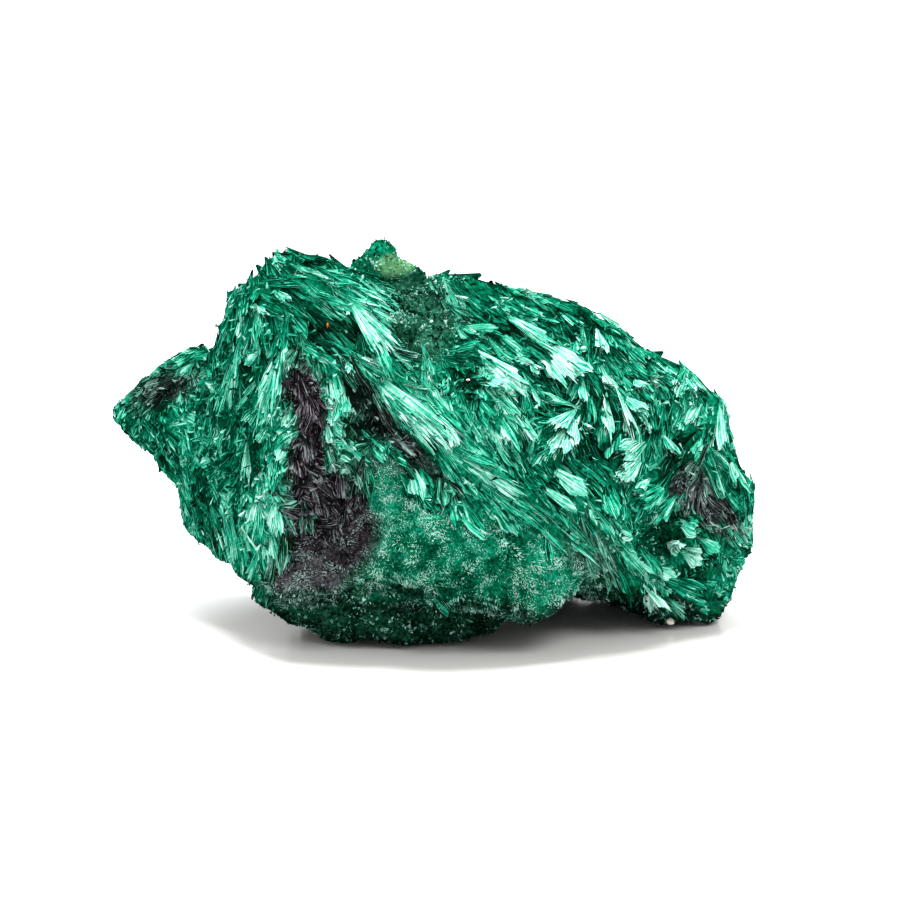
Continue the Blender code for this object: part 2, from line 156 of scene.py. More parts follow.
# The large fans of the right half, as the front view shows them.
FIELD_FANS = [
    Fan(6.5, 33.2, 12.5, 27.8, 1.8, 0.75), Fan(9.2, 31.1, 14.1, 24.8, 3.8, 0.95),
    Fan(3.7, 29.5, 9.3, 23.4, 2.6, 0.95), Fan(4.7, 26.8, 9.2, 17.8, 3.0, 0.7),
    Fan(3.1, 31.4, 6.0, 29.9, 0.9, 0.7), Fan(13.3, 28.2, 15.1, 25.8, 1.4, 0.9),
    Fan(15.2, 26.2, 14.4, 22.4, 0.9, 0.8), Fan(14.6, 23.4, 10.6, 23.1, 0.9, 0.7),
    Fan(14.6, 23.2, 11.4, 19.8, 1.6, 0.85), Fan(14.2, 22.2, 11.7, 17.0, 1.9, 0.8),
    Fan(14.4, 22.5, 13.2, 17.4, 1.1, 0.9), Fan(16.9, 27.1, 16.7, 18.4, 0.8, 1.0),
    Fan(15.7, 26.4, 15.3, 20.0, 1.1, 0.45), Fan(17.9, 26.9, 19.6, 18.6, 0.9, 0.98),
    Fan(16.5, 31.5, 16.7, 27.6, 1.0, 0.9), Fan(17.6, 31.3, 18.6, 28.0, 1.0, 0.4),
    Fan(24.4, 28.0, 23.6, 22.8, 1.5, 0.85), Fan(25.4, 26.9, 26.4, 22.4, 0.9, 0.85),
    Fan(28.7, 24.8, 25.7, 18.4, 1.8, 0.85), Fan(22.1, 20.4, 17.4, 17.4, 2.0, 0.85),
    Fan(21.4, 18.5, 17.9, 15.0, 1.8, 0.8), Fan(22.0, 16.3, 19.3, 13.8, 0.8, 0.9),
    Fan(23.8, 15.5, 19.8, 12.8, 3.0, 0.5), Fan(11.2, 17.8, 15.6, 13.2, 1.5, 0.85),
    Fan(10.0, 16.0, 15.0, 12.0, 0.8, 0.75), Fan(8.8, 35.0, 10.2, 33.4, 1.1, 0.85),
    Fan(11.7, 35.1, 15.9, 31.0, 2.4, 0.6), Fan(0.9, 34.2, 3.9, 31.0, 2.0, 0.3),
    Fan(15.9, 12.8, 20.9, 5.0, 1.2, 0.55), Fan(16.7, 14.0, 20.1, 5.5, 2.2, 0.35),
    Fan(20.9, 9.5, 21.9, 6.0, 1.4, 0.4), Fan(21.2, 7.0, 21.7, 2.8, 0.9, 0.9),
    Fan(22.4, 6.5, 26.9, 4.0, 2.0, 0.32), Fan(26.9, 8.0, 30.4, 5.0, 2.0, 0.38),
    Fan(23.6, 9.8, 24.6, 8.6, 1.0, 0.95), Fan(25.2, 9.2, 26.2, 8.0, 1.1, 0.9),
    Fan(20.5, 25.0, 20.9, 20.8, 1.6, 0.5), Fan(22.5, 30.0, 21.6, 26.0, 1.6, 0.55),
    Fan(28.4, 13.0, 30.6, 8.0, 2.0, 0.4), Fan(2.3, 34.6, 3.1, 32.6, 0.4, 0.95),
    Fan(0.9, 32.4, 1.9, 31.3, 0.4, 0.95), Fan(9.8, 27.9, 10.7, 25.6, 0.7, 0.85),
    Fan(17.0, 27.0, 17.6, 24.0, 1.1, 0.98), Fan(19.0, 24.6, 20.9, 21.4, 1.2, 0.75),
    Fan(21.5, 26.4, 22.3, 24.3, 0.9, 0.95), Fan(20.4, 26.2, 20.9, 24.0, 1.3, 0.85),
    Fan(27.4, 24.3, 25.2, 20.0, 0.8, 0.8), Fan(28.9, 23.8, 28.0, 18.4, 1.3, 0.85),
    Fan(27.3, 20.6, 25.4, 18.0, 0.9, 0.75), Fan(21.9, 22.2, 20.3, 20.8, 1.0, 0.85),
    Fan(15.0, 22.0, 15.3, 19.8, 0.7, 0.85), Fan(22.9, 21.0, 23.9, 18.0, 1.1, 0.65),
    Fan(20.8, 30.2, 20.4, 27.2, 1.2, 0.75), Fan(20.6, 29.8, 23.8, 27.4, 1.2, 0.6),
    Fan(18.6, 31.0, 20.6, 29.4, 0.9, 0.65), Fan(22.5, 27.2, 23.3, 25.2, 0.9, 0.6),
    Fan(25.2, 22.0, 24.3, 20.0, 1.0, 0.6), Fan(6.9, 21.6, 7.2, 19.4, 0.7, 0.85),
    Fan(5.1, 26.2, 7.2, 23.4, 1.2, 0.9), Fan(4.6, 24.4, 6.4, 20.8, 1.2, 0.45),
    Fan(12.0, 33.6, 14.8, 30.0, 1.6, 0.45), Fan(29.8, 18.6, 30.0, 14.6, 2.0, 0.72),
    Fan(28.0, 19.4, 28.6, 16.4, 1.6, 0.62), Fan(25.0, 8.9, 26.6, 7.4, 1.3, 0.92),
    Fan(24.0, 10.0, 25.0, 8.4, 1.3, 0.92), Fan(21.8, 7.4, 23.0, 6.0, 1.4, 0.9),
    Fan(20.6, 8.2, 20.8, 6.0, 0.7, 0.95), Fan(24.6, 12.0, 26.2, 10.4, 1.5, 0.6),
    Fan(26.6, 10.4, 27.8, 8.8, 1.2, 0.75), Fan(24.8, 14.6, 21.0, 11.4, 1.8, 0.5),
    Fan(21.0, 5.8, 22.3, 3.6, 0.6, 0.98), Fan(22.0, 5.2, 25.6, 2.0, 1.8, 0.34),
]

# The silky curtain that falls from the cap.
CURTAIN_FANS = [
    Fan(-13.9, 37.2, -7.9, 34.0, 2.6, 0.7), Fan(-8.5, 34.4, -3.7, 28.0, 3.4, 0.97),
    Fan(-9.6, 35.0, -2.9, 30.5, 2.0, 0.75), Fan(-6.2, 31.8, -4.1, 24.8, 2.8, 0.55),
    Fan(-6.5, 32.0, -5.3, 28.8, 1.0, 0.7), Fan(-8.3, 28.7, -4.6, 26.2, 1.0, 0.9),
    Fan(-7.1, 27.4, 2.4, 18.8, 3.4, 0.97), Fan(-8.4, 28.5, -7.9, 25.5, 0.8, 0.9),
    Fan(-3.1, 25.5, 3.1, 18.5, 2.2, 0.9), Fan(0.7, 22.8, 2.8, 18.5, 1.2, 0.98),
    Fan(-0.1, 20.0, 9.9, 14.0, 2.2, 0.8), Fan(-15.2, 31.1, -8.5, 26.5, 1.1, 0.45),
    Fan(-16.0, 35.2, -13.9, 33.2, 1.4, 0.8), Fan(-8.6, 19.6, -5.6, 17.0, 1.2, 0.5),
    Fan(2.0, 18.0, 12.0, 10.5, 2.4, 0.55), Fan(9.0, 14.4, 17.5, 7.4, 1.8, 0.6),
]

# The steep face at the left.
LEFT_FANS = [
    Fan(-18.4, 34.1, -16.9, 32.4, 0.6, 0.98), Fan(-18.6, 34.0, -18.8, 29.5, 1.4, 0.6),
    Fan(-17.5, 33.5, -16.7, 29.5, 1.2, 0.55), Fan(-19.3, 34.0, -20.9, 29.5, 1.6, 0.4),
    Fan(-21.8, 31.4, -22.3, 27.9, 0.8, 0.6), Fan(-14.8, 30.5, -14.2, 26.2, 1.0, 0.9),
    Fan(-16.9, 29.3, -18.1, 27.4, 0.8, 0.9), Fan(-19.5, 29.5, -20.9, 22.0, 2.2, 0.5),
    Fan(-19.8, 30.0, -19.5, 22.0, 1.4, 0.75), Fan(-16.9, 26.8, -18.5, 23.2, 1.8, 0.7),
    Fan(-16.1, 28.0, -16.3, 20.0, 2.4, 0.7), Fan(-18.5, 20.3, -18.0, 15.3, 1.4, 0.9),
    Fan(-21.9, 15.6, -19.1, 12.0, 2.0, 0.75), Fan(-16.9, 16.0, -17.3, 9.5, 2.6, 0.8),
    Fan(-19.1, 10.0, -18.1, 6.0, 1.4, 0.6), Fan(-15.1, 20.0, -15.5, 14.0, 1.6, 0.6),
    Fan(-14.7, 30.4, -16.6, 22.0, 3.4, 0.85), Fan(-15.0, 25.0, -16.6, 21.0, 2.2, 0.8),
    Fan(-19.0, 30.4, -19.9, 24.0, 1.5, 0.8), Fan(-21.6, 31.2, -22.5, 26.6, 1.1, 0.6),
    Fan(-16.4, 21.4, -16.7, 19.6, 1.6, 0.98), Fan(-20.6, 21.6, -21.0, 19.0, 1.6, 0.7),
    Fan(-21.4, 16.2, -19.4, 11.4, 1.0, 0.95), Fan(-22.6, 15.0, -20.6, 9.6, 1.0, 0.7),
    Fan(-15.6, 14.4, -14.9, 10.2, 2.2, 0.95), Fan(-17.0, 9.4, -17.8, 6.0, 1.6, 0.6),
    Fan(-17.9, 34.2, -15.9, 31.8, 0.8, 0.95), Fan(-24.8, 22.0, -24.0, 18.0, 2.2, 0.55),
    Fan(-27.6, 20.0, -25.6, 15.0, 2.0, 0.6), Fan(-23.6, 28.0, -25.6, 25.6, 1.6, 0.6),
    Fan(-28.0, 27.0, -30.4, 24.4, 1.4, 0.45), Fan(-26.0, 18.0, -23.0, 12.0, 1.8, 0.5),
]

# The dark wedge beside it.
DARK_FANS = [
    Fan(-13.6, 27.6, -12.6, 22.8, 1.8, 0.2), Fan(-12.6, 26.0, -10.6, 21.8, 1.4, 0.16),
    Fan(-12.6, 21.0, -12.2, 17.0, 1.8, 0.3), Fan(-10.8, 20.0, -9.8, 16.2, 1.4, 0.36),
    Fan(-9.2, 17.6, -8.6, 13.6, 1.6, 0.3), Fan(-12.8, 14.4, -12.2, 10.0, 1.8, 0.26),
    Fan(-10.0, 13.4, -9.4, 9.2, 1.8, 0.22), Fan(-6.3, 24.0, 0.9, 16.0, 1.4, 0.25),
    Fan(-8.6, 24.4, -6.8, 20.8, 1.4, 0.15),
]

LISTED_FANS = FIELD_FANS + CURTAIN_FANS + LEFT_FANS + DARK_FANS

# The small dark patches that lie in the gaps between the large fans darken those gaps: painted shadow.
PATCHES = [
    Patch(-12.3, 23.4, 2.3, 5.6, -14.0, 0.18, 1.0), Patch(-12.2, 18.4, 2.2, 3.6, -4.0, 0.20, 1.0),
    Patch(-10.0, 11.8, 4.5, 6.6, -4.0, 0.24, 0.97), Patch(-7.4, 21.4, 2.4, 2.4, -30.0, 0.08, 0.5),
    Patch(-5.0, 17.8, 3.0, 0.9, 25.0, 0.48, 0.4), Patch(-9.0, 18.9, 0.5, 1.8, -15.0, 0.40, 0.2),
    Patch(-12.4, 5.6, 4.4, 2.8, 10.0, 0.42, 0.95), Patch(-7.2, 25.0, 1.6, 2.2, -30.0, 0.12, 0.7),
    Patch(-5.0, 22.0, 1.5, 2.6, -35.0, 0.15, 0.85), Patch(-2.2, 19.2, 1.2, 3.0, -45.0, 0.18, 0.85),
    Patch(0.6, 16.4, 0.9, 2.6, -45.0, 0.22, 0.7), Patch(25.4, 15.4, 1.8, 2.0, 0.0, 0.38, 0.85),
    Patch(28.0, 13.0, 4.0, 1.7, 42.0, 0.36, 0.88), Patch(-0.8, 31.8, 3.8, 4.6, -20.0, 0.36, 0.35),
    Patch(3.0, 27.0, 1.6, 3.6, -20.0, 0.20, 0.05), Patch(-8.6, 31.0, 3.4, 1.8, 10.0, 0.12, 0.05),
    Patch(11.2, 27.3, 1.2, 2.0, 0.0, 0.12, 0.05), Patch(16.0, 8.8, 2.6, 3.2, -40.0, 0.50, 0.45),
    Patch(-16.6, 12.0, 1.8, 4.2, 0.0, 0.72, 0.0), Patch(-4.8, 14.6, 1.6, 2.4, -20.0, 0.62, 0.0),
    Patch(-26.5, 25.2, 3.6, 1.8, -20.0, 0.26, 0.75), Patch(-7.0, 1.6, 10.0, 2.2, 0.0, 0.20, 0.35),
    Patch(5.0, 1.0, 9.0, 1.4, 0.0, 0.18, 0.4), Patch(19.0, 2.8, 3.4, 1.4, 0.0, 0.16, 0.7),
    Patch(-3.6, 37.5, 1.6, 0.9, 0.0, 0.50, 0.0, 0.4), Patch(22.6, 10.2, 2.6, 2.0, 0.0, 0.12, 0.05),
    Patch(16.0, 21.8, 0.6, 3.4, 0.0, 0.14, 0.0), Patch(14.8, 18.4, 0.9, 2.2, 0.0, 0.08, 0.05),
    Patch(17.9, 21.8, 0.6, 2.6, 0.0, 0.10, 0.05), Patch(21.3, 27.2, 0.7, 1.1, 0.0, 0.05, 0.0),
    Patch(12.4, 23.9, 1.9, 0.5, 0.0, 0.08, 0.0), Patch(9.6, 19.8, 0.9, 0.9, 0.0, 0.05, 0.0),
    Patch(24.7, 18.3, 0.8, 1.5, 0.0, 0.08, 0.2), Patch(3.8, 24.8, 1.0, 2.6, -10.0, 0.08, 0.1),
    Patch(26.9, 25.0, 0.9, 1.3, 0.0, 0.15, 0.0), Patch(15.3, 31.2, 0.9, 1.7, -20.0, 0.10, 0.05),
    Patch(8.0, 31.0, 0.6, 1.4, -40.0, 0.02, 0.5), Patch(24.6, 12.8, 1.7, 0.9, 0.0, 0.04, 0.2),
    Patch(26.0, 6.6, 1.6, 1.0, 0.0, 0.10, 0.0), Patch(-18.3, 25.8, 0.6, 1.9, 0.0, 0.08, 0.15),
    Patch(-17.3, 18.2, 0.5, 1.9, 0.0, 0.08, 0.0), Patch(-9.5, 30.6, 4.4, 2.2, 12.0, 0.12, 0.1),
    Patch(-13.3, 20.0, 0.8, 0.8, 0.0, 0.02, 0.9), Patch(-12.0, 12.2, 0.4, 1.0, 0.0, 0.40, 0.2),
]


class Trim(NamedTuple):
    """A place of the outline where the skin moves in, or out where depth is negative, in millimetres."""

    x: float
    h: float
    reach: float
    depth: float


TRIMS = [
    Trim(-21.5, 32.0, 2.4, 1.0), Trim(-18.0, 36.6, 3.0, 0.3), Trim(-27.2, 16.6, 3.4, 1.5),
    Trim(-6.5, 38.8, 1.6, 0.5), Trim(30.2, 24.6, 2.8, 1.2), Trim(30.4, 18.6, 3.2, 0.7),
    Trim(17.6, 31.6, 2.0, 0.3), Trim(-2.6, 39.0, 1.4, 0.8), Trim(-18.6, 6.0, 2.4, -1.3),
    Trim(-12.7, 1.2, 1.8, 1.3), Trim(-20.6, 9.6, 2.0, -0.9),
]


class Grain(NamedTuple):
    """A small foreign grain on the front: place, half its width and height in millimetres, and kind."""

    x: float
    h: float
    half_width: float
    half_height: float
    rusty: bool


GRAINS = [
    Grain(-10.3, 31.4, 0.14, 0.32, True), Grain(23.9, 1.9, 0.45, 0.40, False),
    Grain(10.6, 24.7, 0.38, 0.28, False), Grain(15.2, 29.2, 0.34, 0.18, False),
    Grain(3.7, 26.0, 0.22, 0.12, False), Grain(17.7, 21.6, 0.20, 0.14, False),
]


class Ground(Enum):
    """What grows on a part of the stone."""

    SPLINTERS = "splinters"
    SILK = "silk"
    VELVET = "velvet"
    CRUST = "crust"
    MOSS = "moss"
    CHUNKS = "chunks"


class Zone(NamedTuple):
    """An area of the front view where the ground isn't splinters; turned as a patch is."""

    ground: Ground
    x: float
    h: float
    half_width: float
    half_height: float
    turn: float


ZONES = [
    Zone(Ground.CHUNKS, -18.0, 20.0, 4.6, 10.0, 0.0),
    Zone(Ground.CHUNKS, -24.0, 19.0, 7.0, 10.0, 0.0),
    Zone(Ground.CHUNKS, 25.0, 8.0, 7.0, 6.0, 0.0),
    Zone(Ground.CHUNKS, 4.0, 27.0, 3.0, 4.0, 0.0),
    Zone(Ground.SILK, -9.0, 32.6, 7.0, 3.0, 30.0),
    Zone(Ground.SILK, -5.5, 27.8, 5.0, 2.6, 45.0),
    Zone(Ground.SILK, 0.0, 21.6, 8.5, 2.4, 44.0),
    Zone(Ground.SILK, 9.0, 14.0, 7.0, 1.9, 42.0),
    Zone(Ground.SILK, 15.6, 8.6, 5.0, 2.2, 48.0),
    Zone(Ground.CHUNKS, -12.0, 22.4, 2.6, 6.0, -12.0),
    Zone(Ground.CHUNKS, -10.6, 13.6, 3.4, 4.4, -6.0),
    Zone(Ground.CHUNKS, -7.2, 21.2, 2.4, 2.6, -30.0),
    Zone(Ground.VELVET, -2.6, 8.8, 8.4, 5.2, 5.0),
    Zone(Ground.VELVET, 6.5, 6.8, 8.0, 4.8, 10.0),
    Zone(Ground.VELVET, -12.8, 5.4, 4.2, 2.4, 0.0),
    Zone(Ground.VELVET, -9.6, 8.0, 4.6, 3.4, 0.0),
    Zone(Ground.VELVET, -5.0, 17.4, 3.2, 1.2, 25.0),
    Zone(Ground.VELVET, 12.8, 5.6, 4.6, 3.2, 30.0),
    Zone(Ground.VELVET, -4.6, 13.2, 3.0, 3.0, 0.0),
    Zone(Ground.CRUST, -0.8, 31.8, 3.6, 4.4, -20.0),
    Zone(Ground.CRUST, 22.8, 9.6, 3.4, 3.0, 0.0),
    Zone(Ground.CRUST, -3.0, 38.4, 5.5, 2.6, 0.0),
    Zone(Ground.CRUST, 2.2, 36.6, 3.0, 1.8, 0.0),
    Zone(Ground.MOSS, -8.0, 1.6, 11.0, 2.6, 0.0),
    Zone(Ground.MOSS, 8.0, 0.8, 12.0, 1.4, 0.0),
]


# Where a zone's share reaches 0, and how broad its soft edge is, as parts of its half width.
ZONE_END = 1.15
ZONE_FADE = 0.3


def ground_share(seen: np.ndarray, kind: Ground) -> np.ndarray:
    """How much of a kind of ground there is at places of the front view.

    Args:
        seen: n by 2 places.
        kind: the kind of ground.

    Returns:
        n shares from 0 to 1.
    """
    share = np.zeros(len(seen))
    for zone in ZONES:
        if zone.ground is kind:
            side, rise = from_middle(seen, zone)
            share = np.maximum(share, np.clip((ZONE_END - np.hypot(side, rise)) / ZONE_FADE, 0.0, 1.0))
    return share


# The height under which the underside lies, and over which it fades in, in metres.
UNDERSIDE_TOP = 9.0 * MM
UNDERSIDE_FADE = 4.0 * MM


def underside_share(points: np.ndarray, normals: np.ndarray) -> np.ndarray:
    """How much places belong to the broken underside, low down and facing the floor, where the colouring
    paints shade.

    Args:
        points: n by 3, in metres.
        normals: n by 3.

    Returns:
        n shares from 0 to 1.
    """
    low = np.clip((UNDERSIDE_TOP - points[:, 2]) / UNDERSIDE_FADE, 0.0, 1.0)
    return low * np.clip((-normals[:, 2] - 0.1) / 0.4, 0.0, 1.0)


@dataclass(frozen=True)
class FrontView:
    """Where the stone's front is seen from, and how the front view's millimetres lie in the part's frame."""

    distance: float = 300.0
    tilt: float = math.radians(10.0)
    aim_x: float = 1.9
    aim_h: float = 19.0
    aim_z: float = 17.6
    lens: float = 120.0
    sensor: float = 36.0

    def aim(self) -> Vector:
        """The point looked at, in metres."""
        return Vector((self.aim_x - MIDDLE_X, -MIDDLE_Y, self.aim_z)) * MM

    def forward(self) -> Vector:
        """The direction of view."""
        return Vector((0.0, math.cos(self.tilt), -math.sin(self.tilt)))

    def upward(self) -> Vector:
        """The direction that is up in the view."""
        return Vector((0.0, math.sin(self.tilt), math.cos(self.tilt)))

    def eye(self) -> Vector:
        """The point seen from, in metres."""
        return self.aim() - self.forward() * self.distance * MM

    def ray(self, x: float, h: float) -> Vector:
        """The direction from the eye towards a place of the front view.

        Args:
            x: place across, in millimetres of the front view.
            h: place up.

        Returns:
            The unit direction.
        """
        across = Vector((x - self.aim_x, 0.0, 0.0))
        return (self.forward() * self.distance + across + self.upward() * (h - self.aim_h)).normalized()

    def seen(self, points: np.ndarray) -> np.ndarray:
        """Where points appear in the front view.

        Args:
            points: n by 3, in metres.

        Returns:
            n by 2: x and h in millimetres of the front view.
        """
        offset = (points - np.array(self.eye())) / MM
        away = offset @ np.array(self.forward())
        scale = self.distance / away
        x = offset[:, 0] * scale + self.aim_x
        h = (offset @ np.array(self.upward())) * scale + self.aim_h
        return np.stack([x, h], axis=1)


VIEW = FrontView()


def facing(points: np.ndarray, normals: np.ndarray) -> np.ndarray:
    """How squarely places on the stone face the front view's eye.

    Args:
        points: n by 3, in metres.
        normals: n by 3.

    Returns:
        n values: 1 straight at the eye, 0 edge on, below 0 turned away.
    """
    towards = np.array(VIEW.eye()) - points
    towards /= np.linalg.norm(towards, axis=1)[:, None]
    return np.sum(normals * towards, axis=1)


def lumpy(points: np.ndarray, size: float, shift: tuple = (0.0, 0.0, 0.0)) -> np.ndarray:
    """Soft lumpy noise at places.

    Args:
        points: n by 3, in metres.
        size: the lumps' size in metres.
        shift: moves the pattern.

    Returns:
        n values, about -1 to 1.
    """
    return np.array([noise.noise(Vector(point) / size + Vector(shift)) for point in points])


def leaned_out(ways: np.ndarray, normals: np.ndarray, least: float) -> np.ndarray:
    """Directions turned off the stone where they lean into it.

    Args:
        ways: n by 3.
        normals: n by 3.
        least: how far they lean out at least.

    Returns:
        n by 3 directions.
    """
    ways = ways / np.linalg.norm(ways, axis=1)[:, None]
    lean = np.sum(ways * normals, axis=1)
    return ways + normals * np.maximum(least - lean, 0.0)[:, None]


@dataclass
class Outline:
    """How far places of the front view lie outside the stone's outline, kept on a grid of square cells."""

    tree: BVHTree
    step: float = 0.2
    low: tuple = (-36.0, -4.0)
    cells: tuple = (360, 240)
    rings: int = 20

    def __post_init__(self) -> None:
        """Finds the outline."""
        across, up = self.cells
        eye = VIEW.eye()
        covered = np.zeros(self.cells, bool)
        for column in range(across):
            for row in range(up):
                x, h = self.low[0] + column * self.step, self.low[1] + row * self.step
                covered[column, row] = self.tree.ray_cast(eye, VIEW.ray(x, h))[0] is not None
        self.gaps = np.where(covered, 0.0, self.rings * self.step)
        for ring in range(1, self.rings):
            grown = covered.copy()
            for shift in (-1, 1):
                for axis in (0, 1):
                    grown |= np.roll(covered, shift, axis=axis)
            self.gaps[grown & ~covered] = ring * self.step
            covered = grown

    def gap(self, points: np.ndarray) -> np.ndarray:
        """How far points appear outside the outline.

        Args:
            points: n by 3, in metres.

        Returns:
            n gaps in millimetres, 0 inside.
        """
        cell = np.rint((VIEW.seen(points) - np.array(self.low)) / self.step).astype(int)
        cell = np.clip(cell, 0, np.array(self.cells) - 1)
        return self.gaps[cell[:, 0], cell[:, 1]]


def node(tree: bpy.types.NodeTree, kind: str, **settings: object) -> bpy.types.Node:
    """Adds a node and sets its properties.

    Args:
        tree: the node tree.
        kind: the node's type name.
        settings: properties by name.

    Returns:
        The new node.
    """
    made = tree.nodes.new(kind)
    for name, value in settings.items():
        setattr(made, name, value)
    return made


def feed(tree: bpy.types.NodeTree, socket: bpy.types.NodeSocket, value: object) -> None:
    """Links a socket to another one, or sets its constant.

    Args:
        tree: the node tree.
        socket: the input.
        value: an output socket, or a constant.
    """
    if isinstance(value, bpy.types.NodeSocket):
        tree.links.new(value, socket)
    else:
        socket.default_value = value


def sums(tree: bpy.types.NodeTree, kind: str, first: object, second: object,
         clamp: bool = False) -> bpy.types.NodeSocket:
    """A sum, product or other arithmetic of two values.

    Args:
        tree: the node tree.
        kind: the operation, such as ADD.
        first: a socket or number.
        second: a socket or number.
        clamp: keeps the result between 0 and 1.

    Returns:
        The result's socket.
    """
    made = node(tree, "ShaderNodeMath", operation=kind, use_clamp=clamp)
    feed(tree, made.inputs[0], first)
    feed(tree, made.inputs[1], second)
    return made.outputs[0]


def blended(tree: bpy.types.NodeTree, share: object, first: object, second: object) -> bpy.types.NodeSocket:
    """Two colours mixed by a share.

    Args:
        tree: the node tree.
        share: how much of the second.
        first: a socket or colour.
        second: a socket or colour.

    Returns:
        The mixed colour's socket.
    """
    made = node(tree, "ShaderNodeMix", data_type="RGBA")
    feed(tree, made.inputs[0], share)
    feed(tree, made.inputs[6], first)
    feed(tree, made.inputs[7], second)
    return made.outputs[2]


def ramp(tree: bpy.types.NodeTree, value: object, stops: list[tuple[float, tuple]]) -> bpy.types.NodeSocket:
    """A colour that runs through stops as the value goes from 0 to 1.

    Args:
        tree: the node tree.
        value: a socket or number.
        stops: place and colour of each stop.

    Returns:
        The colour's socket.
    """
    made = node(tree, "ShaderNodeValToRGB")
    feed(tree, made.inputs[0], value)
    marks = made.color_ramp.elements
    while len(marks) < len(stops):
        marks.new(0.5)
    for mark, (place, colour) in zip(marks, stops):
        mark.position = place
        mark.color = (*colour, 1.0)
    return made.outputs[0]


def cloud(tree: bpy.types.NodeTree, size: float, detail: float = 3.0) -> bpy.types.NodeSocket:
    """Cloudy noise on the piece's own coordinates.

    Args:
        tree: the node tree.
        size: the clouds' size in metres.
        detail: how much finer structure it has.

    Returns:
        The noise value's socket, from 0 to 1.
    """
    place = node(tree, "ShaderNodeTexCoord")
    made = node(tree, "ShaderNodeTexNoise")
    tree.links.new(place.outputs["Object"], made.inputs["Vector"])
    made.inputs["Scale"].default_value = 1.0 / size
    made.inputs["Detail"].default_value = detail
    return made.outputs[0]


def swing(tree: bpy.types.NodeTree, value: object, middle: float, size: float) -> bpy.types.NodeSocket:
    """A value's difference from its middle, made larger or smaller.

    Args:
        tree: the node tree.
        value: a socket.
        middle: the value that gives 0.
        size: what the difference is multiplied by.

    Returns:
        The result's socket.
    """
    return sums(tree, "MULTIPLY", sums(tree, "SUBTRACT", value, middle), size)


def own(tree: bpy.types.NodeTree, name: str) -> bpy.types.NodeSocket:
    """The value of a mesh attribute of that name."""
    return node(tree, "ShaderNodeAttribute", attribute_name=name).outputs["Fac"]


# Colours from the darkest tone to the palest, as the tone and the colour; the pale mint end is partly the
# fibres' own colour and partly painted sheen.
GREENS = [
    (0.0, (0.0004, 0.0100, 0.0050)),
    (0.22, (0.0008, 0.082, 0.038)),
    (0.45, (0.0060, 0.250, 0.145)),
    (0.62, (0.050, 0.390, 0.262)),
    (0.80, (0.250, 0.505, 0.412)),
    (1.0, (0.435, 0.665, 0.595)),
]

VIOLETS = [
    (0.0, (0.002, 0.002, 0.002)),
    (0.15, (0.011, 0.008, 0.011)),
    (0.30, (0.048, 0.038, 0.049)),
    (0.5, (0.112, 0.116, 0.124)),
    (1.0, (0.300, 0.430, 0.395)),
]

YELLOW = (0.20, 0.40, 0.17, 1.0)


def stone_colour(tree: bpy.types.NodeTree, tone: bpy.types.NodeSocket) -> None:
    """Colours a finish by its tone and the piece's own violet and yellow shares.

    Args:
        tree: the material's nodes.
        tone: how pale it is.
    """
    colour = blended(tree, own(tree, "violet"), ramp(tree, tone, GREENS), ramp(tree, tone, VIOLETS))
    colour = blended(tree, own(tree, "yellow"), colour, YELLOW)
    tree.links.new(colour, tree.nodes["Principled BSDF"].inputs["Base Color"])


def blank(name: str) -> tuple[bpy.types.Material, bpy.types.NodeTree, bpy.types.Node]:
    """A new material, its nodes and its shader.

    Args:
        name: the material's name.

    Returns:
        The three.
    """
    made = bpy.data.materials.new(name)
    made.use_nodes = True
    return made, made.node_tree, made.node_tree.nodes["Principled BSDF"]


@dataclass(frozen=True)
class NeedleFinish:
    """Silky needles: darker at the root, which is painted shade, and pale at the broken end, each with its
    own tone; their silky sheen is painted into the pale colours.
    """

    name: str
    roughness: float = 0.56
    # How much darker the root is and paler the end: painted shade at the root.
    root_shade_and_tip_gain: float = 0.16
    roughness_swing: float = 0.24
    mottle: float = 0.42
    broad_mottle: float = 0.0016
    fine_mottle: float = 0.0003
    # No specular reflection: the silky sheen is painted into the pale tones instead.
    specular: float = 0.0
    fibre: float = 0.00012
    fibre_length: float = 0.0024
    apart: float = 90.0
    contrast: float = 2.2

    def streaks(self, tree: bpy.types.NodeTree) -> bpy.types.NodeSocket:
        """Fine fibres along each splinter, lighter and darker.

        Args:
            tree: the material's nodes.

        Returns:
            The change of tone.
        """
        across = sums(tree, "MULTIPLY", own(tree, "across"), own(tree, "wide"))
        along = sums(tree, "MULTIPLY", own(tree, "along"), own(tree, "long"))
        place = node(tree, "ShaderNodeCombineXYZ")
        feed(tree, place.inputs["X"], sums(tree, "MULTIPLY", across, 1.0 / self.fibre))
        feed(tree, place.inputs["Y"], sums(tree, "MULTIPLY", along, 1.0 / self.fibre_length))
        feed(tree, place.inputs["Z"], sums(tree, "MULTIPLY", own(tree, "chance"), self.apart))
        fibres = node(tree, "ShaderNodeTexNoise")
        tree.links.new(place.outputs[0], fibres.inputs["Vector"])
        fibres.inputs["Scale"].default_value = 1.0
        fibres.inputs["Detail"].default_value = 2.0
        return swing(tree, fibres.outputs[0], 0.5, self.contrast)

    def material(self) -> bpy.types.Material:
        """The finish as a material.

        Returns:
            The material.
        """
        made, tree, shader = blank(self.name)
        tone = sums(tree, "ADD", own(tree, "tone"), swing(tree, own(tree, "along"), 0.6, self.root_shade_and_tip_gain))
        tone = sums(tree, "ADD", tone, self.streaks(tree))
        tone = sums(tree, "ADD", tone, swing(tree, cloud(tree, self.broad_mottle, 4.0), 0.5, self.mottle))
        fine = swing(tree, cloud(tree, self.fine_mottle, 2.0), 0.5, self.mottle)
        stone_colour(tree, sums(tree, "ADD", tone, fine, clamp=True))
        uneven = sums(tree, "MULTIPLY", cloud(tree, 0.0008), self.roughness_swing)
        uneven = sums(tree, "ADD", uneven, self.roughness - self.roughness_swing / 2)
        tree.links.new(uneven, shader.inputs["Roughness"])
        shader.inputs["Specular IOR Level"].default_value = self.specular
        return made


